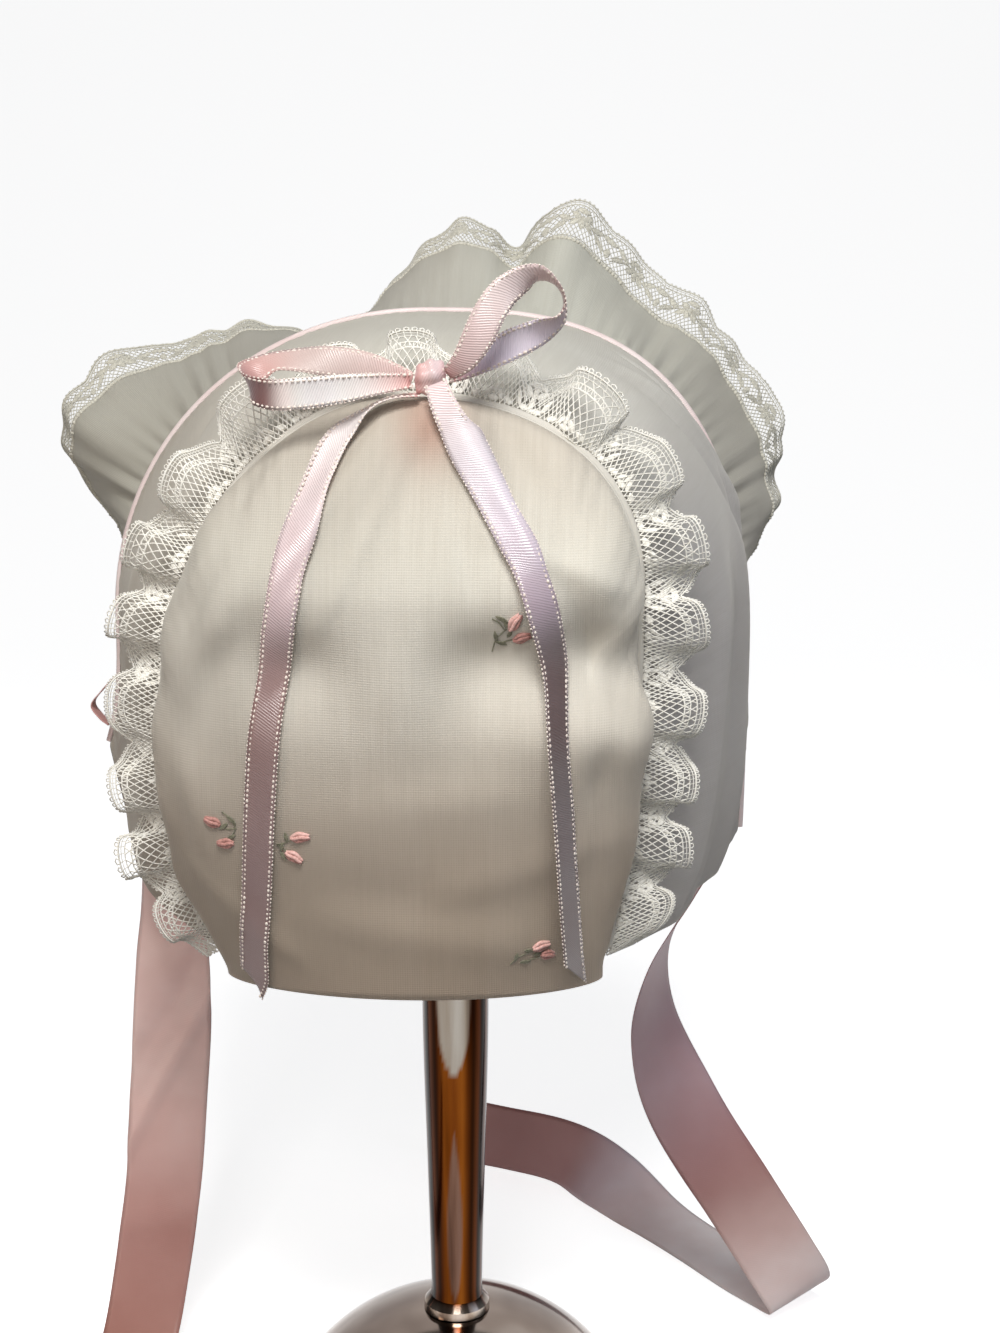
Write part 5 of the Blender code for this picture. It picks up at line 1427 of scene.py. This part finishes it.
def sprigRuns(tree, frameOf, sprig):
    v = sprigs
    buds, deepBuds, greens = [], [], []

    def bowed(x, z, angle, along, bow):
        c, s = math.cos(math.radians(angle)), math.sin(math.radians(angle))
        return np.stack([x + c * along - s * bow, z + s * along + c * bow], axis=1)

    t = np.linspace(-0.5, 0.5, 15)
    for x, z, angle, long, deep in sprig["buds"]:
        for k, (offset, lift) in enumerate(v["knots"]):
            bow = offset * (1 - v["budBow"] * t ** 2) + v["budWaver"] * np.sin(9 * t + k)
            radius = v["budRadius"] + v["wrapDepth"] * np.sin(math.tau * v["wraps"] * (t + 0.5))
            radius = radius * (1 - v["budTaper"] * (2 * np.abs(t)) ** 3) * mm
            laid = layOn(tree, frameOf, bowed(x, z, angle, t * long, bow), lift)
            (deepBuds if deep or k == 0 else buds).append((laid, radius))
    t = np.linspace(0, 1, 9)
    leafRadius = v["leafRadius"] * mm * np.sin(math.pi * (0.12 + 0.76 * t))
    for x, z, angle, long in sprig["leaves"]:
        for side in (-1, 0, 1):                                # a lazy-daisy loop with its filling
            bow = side * v["leafWide"] * np.sin(math.pi * t) * 0.5
            run = bowed(x, z, angle, (t - 0.5) * long, bow)
            greens.append((layOn(tree, frameOf, run, v["leafLift"]), leafRadius))
    for stem in sprig["stems"]:
        points = np.array(stem, float)
        keys = np.linspace(0, 1, len(points))
        smooth = readTable(np.column_stack([keys, points]), np.linspace(0, 1, 14))
        greens.append((layOn(tree, frameOf, smooth, v["stemLift"]), v["stemRadius"] * mm))
    return buds, deepBuds, greens


def makeSprigs():
    buds, deepBuds, greens = [], [], []
    spots = [(panelTree, sprig, (sprig["at"][0] * mm, -0.05, sprig["at"][1] * mm), (0, 1, 0))
             for sprig in sprigs["panel"]]
    for sprig in sprigs["band"]:
        place = archOutline(sprig["y"], 1001)[round(sprig["along"] * 1000)]
        spots.append((bandTree, sprig, place + np.array((0.03, 0, 0.01)), (-1, 0, 0)))
    for tree, sprig, centre, toward in spots:
        frameOf = clothFrame(tree, centre, toward)
        for target, runs in zip((buds, deepBuds, greens), sprigRuns(tree, frameOf, sprig)):
            target.extend(runs)
    return [threads("rosebudsPale", buds, budSilk, sides=8),
            threads("rosebudsDeep", deepBuds, budSilkDeep, sides=8),
            threads("rosebudLeaves", greens, leafSilk, sides=5)]


sprigPieces = makeSprigs()
print("rosebud sprigs done")

# The stand: turned and polished, the same profile as its solids
stand = {
    "footRadius": 0.0450, "footSphere": 0.0550, "footEdge": 0.0015, "footFlat": 0.0095,
    "postRings": ((0.0000, 0.0090), (0.0010, 0.0092), (0.0024, 0.0086), (0.0036, 0.0072), (0.0100, 0.0070),
                  (0.04, 0.0077), (0.086, 0.0088), (0.2, 0.0088)),
    "capRadius": 0.0380, "capSphere": 0.0600, "footRound": 0.0006, "capRound": 0.0015,
    "sides": 96, "sharpAbove": 35, "postSteps": 120, "footSteps": 30, "capSteps": 16,
    # bronze tint in brown streaks of painted reflection, by the angle from the front
    "bronzeAndReflections": ((0.0, "5C2F0E"), (0.25, "6E3D12"), (0.45, "48240A"), (0.62, "241004"), (0.80, "4E280C"),
                (0.92, "1C0C04"), (1.0, "140802")),
    # half angles in degrees at each height, and the colour of each painted reflection
    "paintedReflections": (
        (((0.0, 0.0), (0.094, 0.0), (0.098, 14.0), (0.106, 26.0), (0.140, 32.0), (0.250, 32.0)), "86817A"),
        (((0, 0), (0.029, 0), (0.033, 9), (0.05, 16), (0.068, 9), (0.081, 0), (0.25, 0)),
         "6A5248"),
        (((0.0, 60.0), (0.0276, 60.0), (0.0284, 0.0), (0.250, 0.0)), "B9AFA6"),
    ),
}


def drop(sphere, radius):
    return sphere - math.sqrt(sphere ** 2 - radius ** 2)


def turned(name, profile, material):
    sides = stand["sides"]
    angles = math.tau * np.arange(sides) / sides
    shape = bmesh.new()
    rings = []
    for radius, z in profile:
        if radius == 0.0:
            rings.append([shape.verts.new((0, 0, z))])
        else:
            rings.append([shape.verts.new((radius * math.cos(a), radius * math.sin(a), z)) for a in angles])
    for low, high in zip(rings, rings[1:]):
        for k in range(sides):
            n = (k + 1) % sides
            if len(low) == 1:
                shape.faces.new((low[0], high[n], high[k]))
            elif len(high) == 1:
                shape.faces.new((low[k], low[n], high[0]))
            else:
                shape.faces.new((low[k], low[n], high[n], high[k]))
    mesh = bpy.data.meshes.new(name)
    shape.to_mesh(mesh)
    shape.free()
    mesh.shade_smooth()
    mesh.set_sharp_from_angle(angle=math.radians(stand["sharpAbove"]))
    mesh.materials.append(material)
    return plain(placed(name, mesh))


# bronze tint of the post, laid on as brown streaks of painted reflection that repeat three times around it,
# with grey painted reflections at the top and in a narrow tongue lower down, and a painted highlight on the
# bead at its foot
def paintPostReflections(piece):
    v = stand
    coords = np.zeros(len(piece.data.vertices) * 3, np.float32)
    piece.data.vertices.foreach_get("co", coords)
    coords = coords.reshape(-1, 3)
    angle = np.degrees(np.arctan2(coords[:, 0], -coords[:, 1]))
    angle = np.abs((angle + 60) % 120 - 60)
    colours = shadeAndColourAlong(v["bronzeAndReflections"], angle / 60)
    for table, hexCode in v["paintedReflections"]:
        half = readTable(table, coords[:, 2])[:, 0]
        share = np.clip((half - angle) / 5 + 0.5, 0, 1)[:, None] * (half[:, None] > 0.5)
        colours = colours + (np.array(linear(hexCode)[:3]) - colours) * share
    return paint(piece, colours)


def makeStand():
    v = stand
    footTop = v["footEdge"] + drop(v["footSphere"], v["footRadius"])
    foot = [(0.0, 0.0), (v["footRadius"] - v["footRound"], 0.0), (v["footRadius"], v["footRound"])]
    for radius in np.linspace(v["footRadius"], v["footFlat"], v["footSteps"]):
        foot.append((float(radius), footTop - drop(v["footSphere"], float(radius))))
    foot.append((0.0, foot[-1][1]))
    low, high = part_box("stand_post")
    heights = low.z + np.linspace(0, high.z - low.z, v["postSteps"])
    radii = readTable(v["postRings"], heights - low.z)[:, 0]
    post = [(0.0, low.z)] + list(zip(radii.tolist(), heights.tolist())) + [(0.0, high.z)]
    capLow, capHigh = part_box("stand_cap")
    edge = v["capRound"]
    cap = [(0.0, capLow.z), (v["capRadius"] - edge, capLow.z), (v["capRadius"], capLow.z + edge)]
    for radius in np.linspace(v["capRadius"], 0.0, v["capSteps"])[:-1]:
        cap.append((float(radius), capHigh.z - drop(v["capSphere"], float(radius))))
    cap.append((0.0, capHigh.z))
    return [(turned("standFoot", foot, footMetal), "stand_base"),
            (paintPostReflections(turned("standPost", post, postMetal)), "stand_post"),
            (turned("standCap", cap, footMetal), "stand_cap")]


standPieces = makeStand()
print("stand turned")

# every piece rides on the one body and stands for its solids
pieces = [
    (bandPiece, "batiste", "side_band"), (panelPiece, "batiste", "back_panel"),
    (rufflePiece, "batiste", "front_ruffle"), (ruffleLacePiece, "cream_lace", "ruffle_lace"),
    (backLacePiece, "cream_lace", "back_lace"), (joinPiece, "cream_lace", None), (seamPiece, "batiste", None),
    (pipingPiece, "piping_satin", "piping"), (knotPiece, "bow_satin", "bow_knot"),
    (tieLeftPiece, "tie_satin", "tie_left"), (tieRightPiece, "tie_satin", "tie_right"),
    (tabPiece, "tie_satin", "corner_tab"),
]
pieces += [(piece, "bow_satin", node) for piece, node in bowPieces]
pieces += [(piece, "polished_metal", node) for piece, node in standPieces]
pieces += [(piece, "batiste", None) for piece in sprigPieces]
for piece, slot, node in pieces:
    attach(piece, "root")
    if node:
        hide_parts(node)

# the gathered pieces were cut a little longer than the seam they are drawn into
print("pieces placed")

# pale floor that sweeps up behind, soft studio light, and the photo's viewing angle
studio = {
    "floorHex": "FCFCFC", "floorGlow": 0.74,
    "sweepFrom": 0.9, "sweepRadius": 1.2, "sweepHeight": 3.0, "sweepSteps": 16, "half": 3.0,
    "drop": 0.0003, "paperGrain": 400.0, "paperBump": 0.05,
    "roomHex": "F1F3F6", "roomStrength": 0.17, "roomSeen": 1.0,
    # softboxes: place, aimed at, size, watts, colour
    "softboxes": {
        "softboxTop": ((0.03, -0.44, 0.78), (-0.01, -0.04, 0.22), (0.28, 0.24), 5.5, "FFFEFC"),
        "softboxHigh": ((-0.05, -0.78, 0.62), (-0.01, -0.05, 0.24), (0.18, 0.18), 1.2, "FFFCF8"),
        "softboxRight": ((0.85, -0.25, 0.55), (0.0, 0.0, 0.2), (0.5, 0.6), 0.9, "DCE7FF"),
        "softboxLow": ((-0.60, -0.50, 0.10), (-0.09, 0.02, 0.10), (0.22, 0.22), 0.80, "FFE6D4"),
    },
    "cameraAt": (0.03434, -0.49527, 0.30930), "pitch": 78.0, "yaw": 2.6, "lens": 53.47,
}


def makeFloor():
    v = studio
    profile = [(-v["half"], 0.0), (v["sweepFrom"], 0.0)]
    for k in range(1, v["sweepSteps"] + 1):
        angle = 0.5 * math.pi * k / v["sweepSteps"]
        profile.append((v["sweepFrom"] + v["sweepRadius"] * math.sin(angle),
                        v["sweepRadius"] * (1 - math.cos(angle))))
    profile.append((profile[-1][0], v["sweepHeight"]))
    points = np.array([[(x, y, z - v["drop"]) for x in (-v["half"], v["half"])] for y, z in profile])
    material, tree, out = newMaterial("matt white paper")    # seamless paper: flat, dull and evenly lit
    place = addNode(tree, "ShaderNodeTexCoord")
    fibre = addNode(tree, "ShaderNodeTexNoise", values={"Scale": v["paperGrain"], "Detail": 3.0},
                    links={"Vector": place.outputs["Object"]})
    bump = addNode(tree, "ShaderNodeBump", values={"Strength": v["paperBump"], "Distance": 0.0002},
                   links={"Height": fibre.outputs["Fac"]})
    paper = addNode(tree, "ShaderNodeBsdfPrincipled",
                    values={"Base Color": linear(v["floorHex"]), "Roughness": 0.9, "Specular IOR Level": 0.1,
                            "Emission Color": linear(v["floorHex"]), "Emission Strength": v["floorGlow"]},
                    links={"Normal": bump.outputs["Normal"]})
    tree.links.new(paper.outputs["BSDF"], out.inputs["Surface"])
    floor = gridMesh("paperFloor", points, points[:, :, :2] / mm, material, flip=True)
    floor.visible_diffuse = False         # the paper looks white without lighting the bonnet from below


def areaLight(name, place, target, size, power, hexCode):
    light = bpy.data.lights.new(name, "AREA")
    light.shape = "RECTANGLE"
    light.size, light.size_y = size
    light.energy = power
    light.color = linear(hexCode)[:3]
    lamp = placed(name, light)
    lamp.location = place
    lamp.rotation_euler = (Vector(target) - Vector(place)).to_track_quat("-Z", "Y").to_euler()


def makeStudio():
    v = studio
    makeFloor()
    bpy.context.scene.view_settings.view_transform = "Standard"    # plain sRGB, so white cloth stays white
    world = bpy.data.worlds.new("pale room")
    world.use_nodes = True
    bpy.context.scene.world = world
    tree = world.node_tree
    tree.nodes.clear()
    out = addNode(tree, "ShaderNodeOutputWorld")
    dim = addNode(tree, "ShaderNodeBackground",
                  values={"Color": linear(v["roomHex"]), "Strength": v["roomStrength"]})
    seen = addNode(tree, "ShaderNodeBackground",
                   values={"Color": linear("FFFFFF"), "Strength": v["roomSeen"]})
    path = addNode(tree, "ShaderNodeLightPath")
    room = addNode(tree, "ShaderNodeMixShader",
                   links={0: path.outputs["Is Camera Ray"], 1: dim.outputs["Background"],
                          2: seen.outputs["Background"]})
    tree.links.new(room.outputs["Shader"], out.inputs["Surface"])
    for name, (place, target, size, power, hexCode) in v["softboxes"].items():
        areaLight(name, place, target, size, power, hexCode)
    camera = bpy.data.cameras.new("photoView")
    camera.sensor_fit = "VERTICAL"
    camera.sensor_height = 36.0
    camera.lens = v["lens"]
    camera.clip_start = 0.01
    viewer = placed("photoView", camera)
    viewer.location = v["cameraAt"]
    viewer.rotation_euler = (math.radians(v["pitch"]), 0.0, math.radians(v["yaw"]))
    bpy.context.scene.camera = viewer


makeStudio()
print("studio ready")
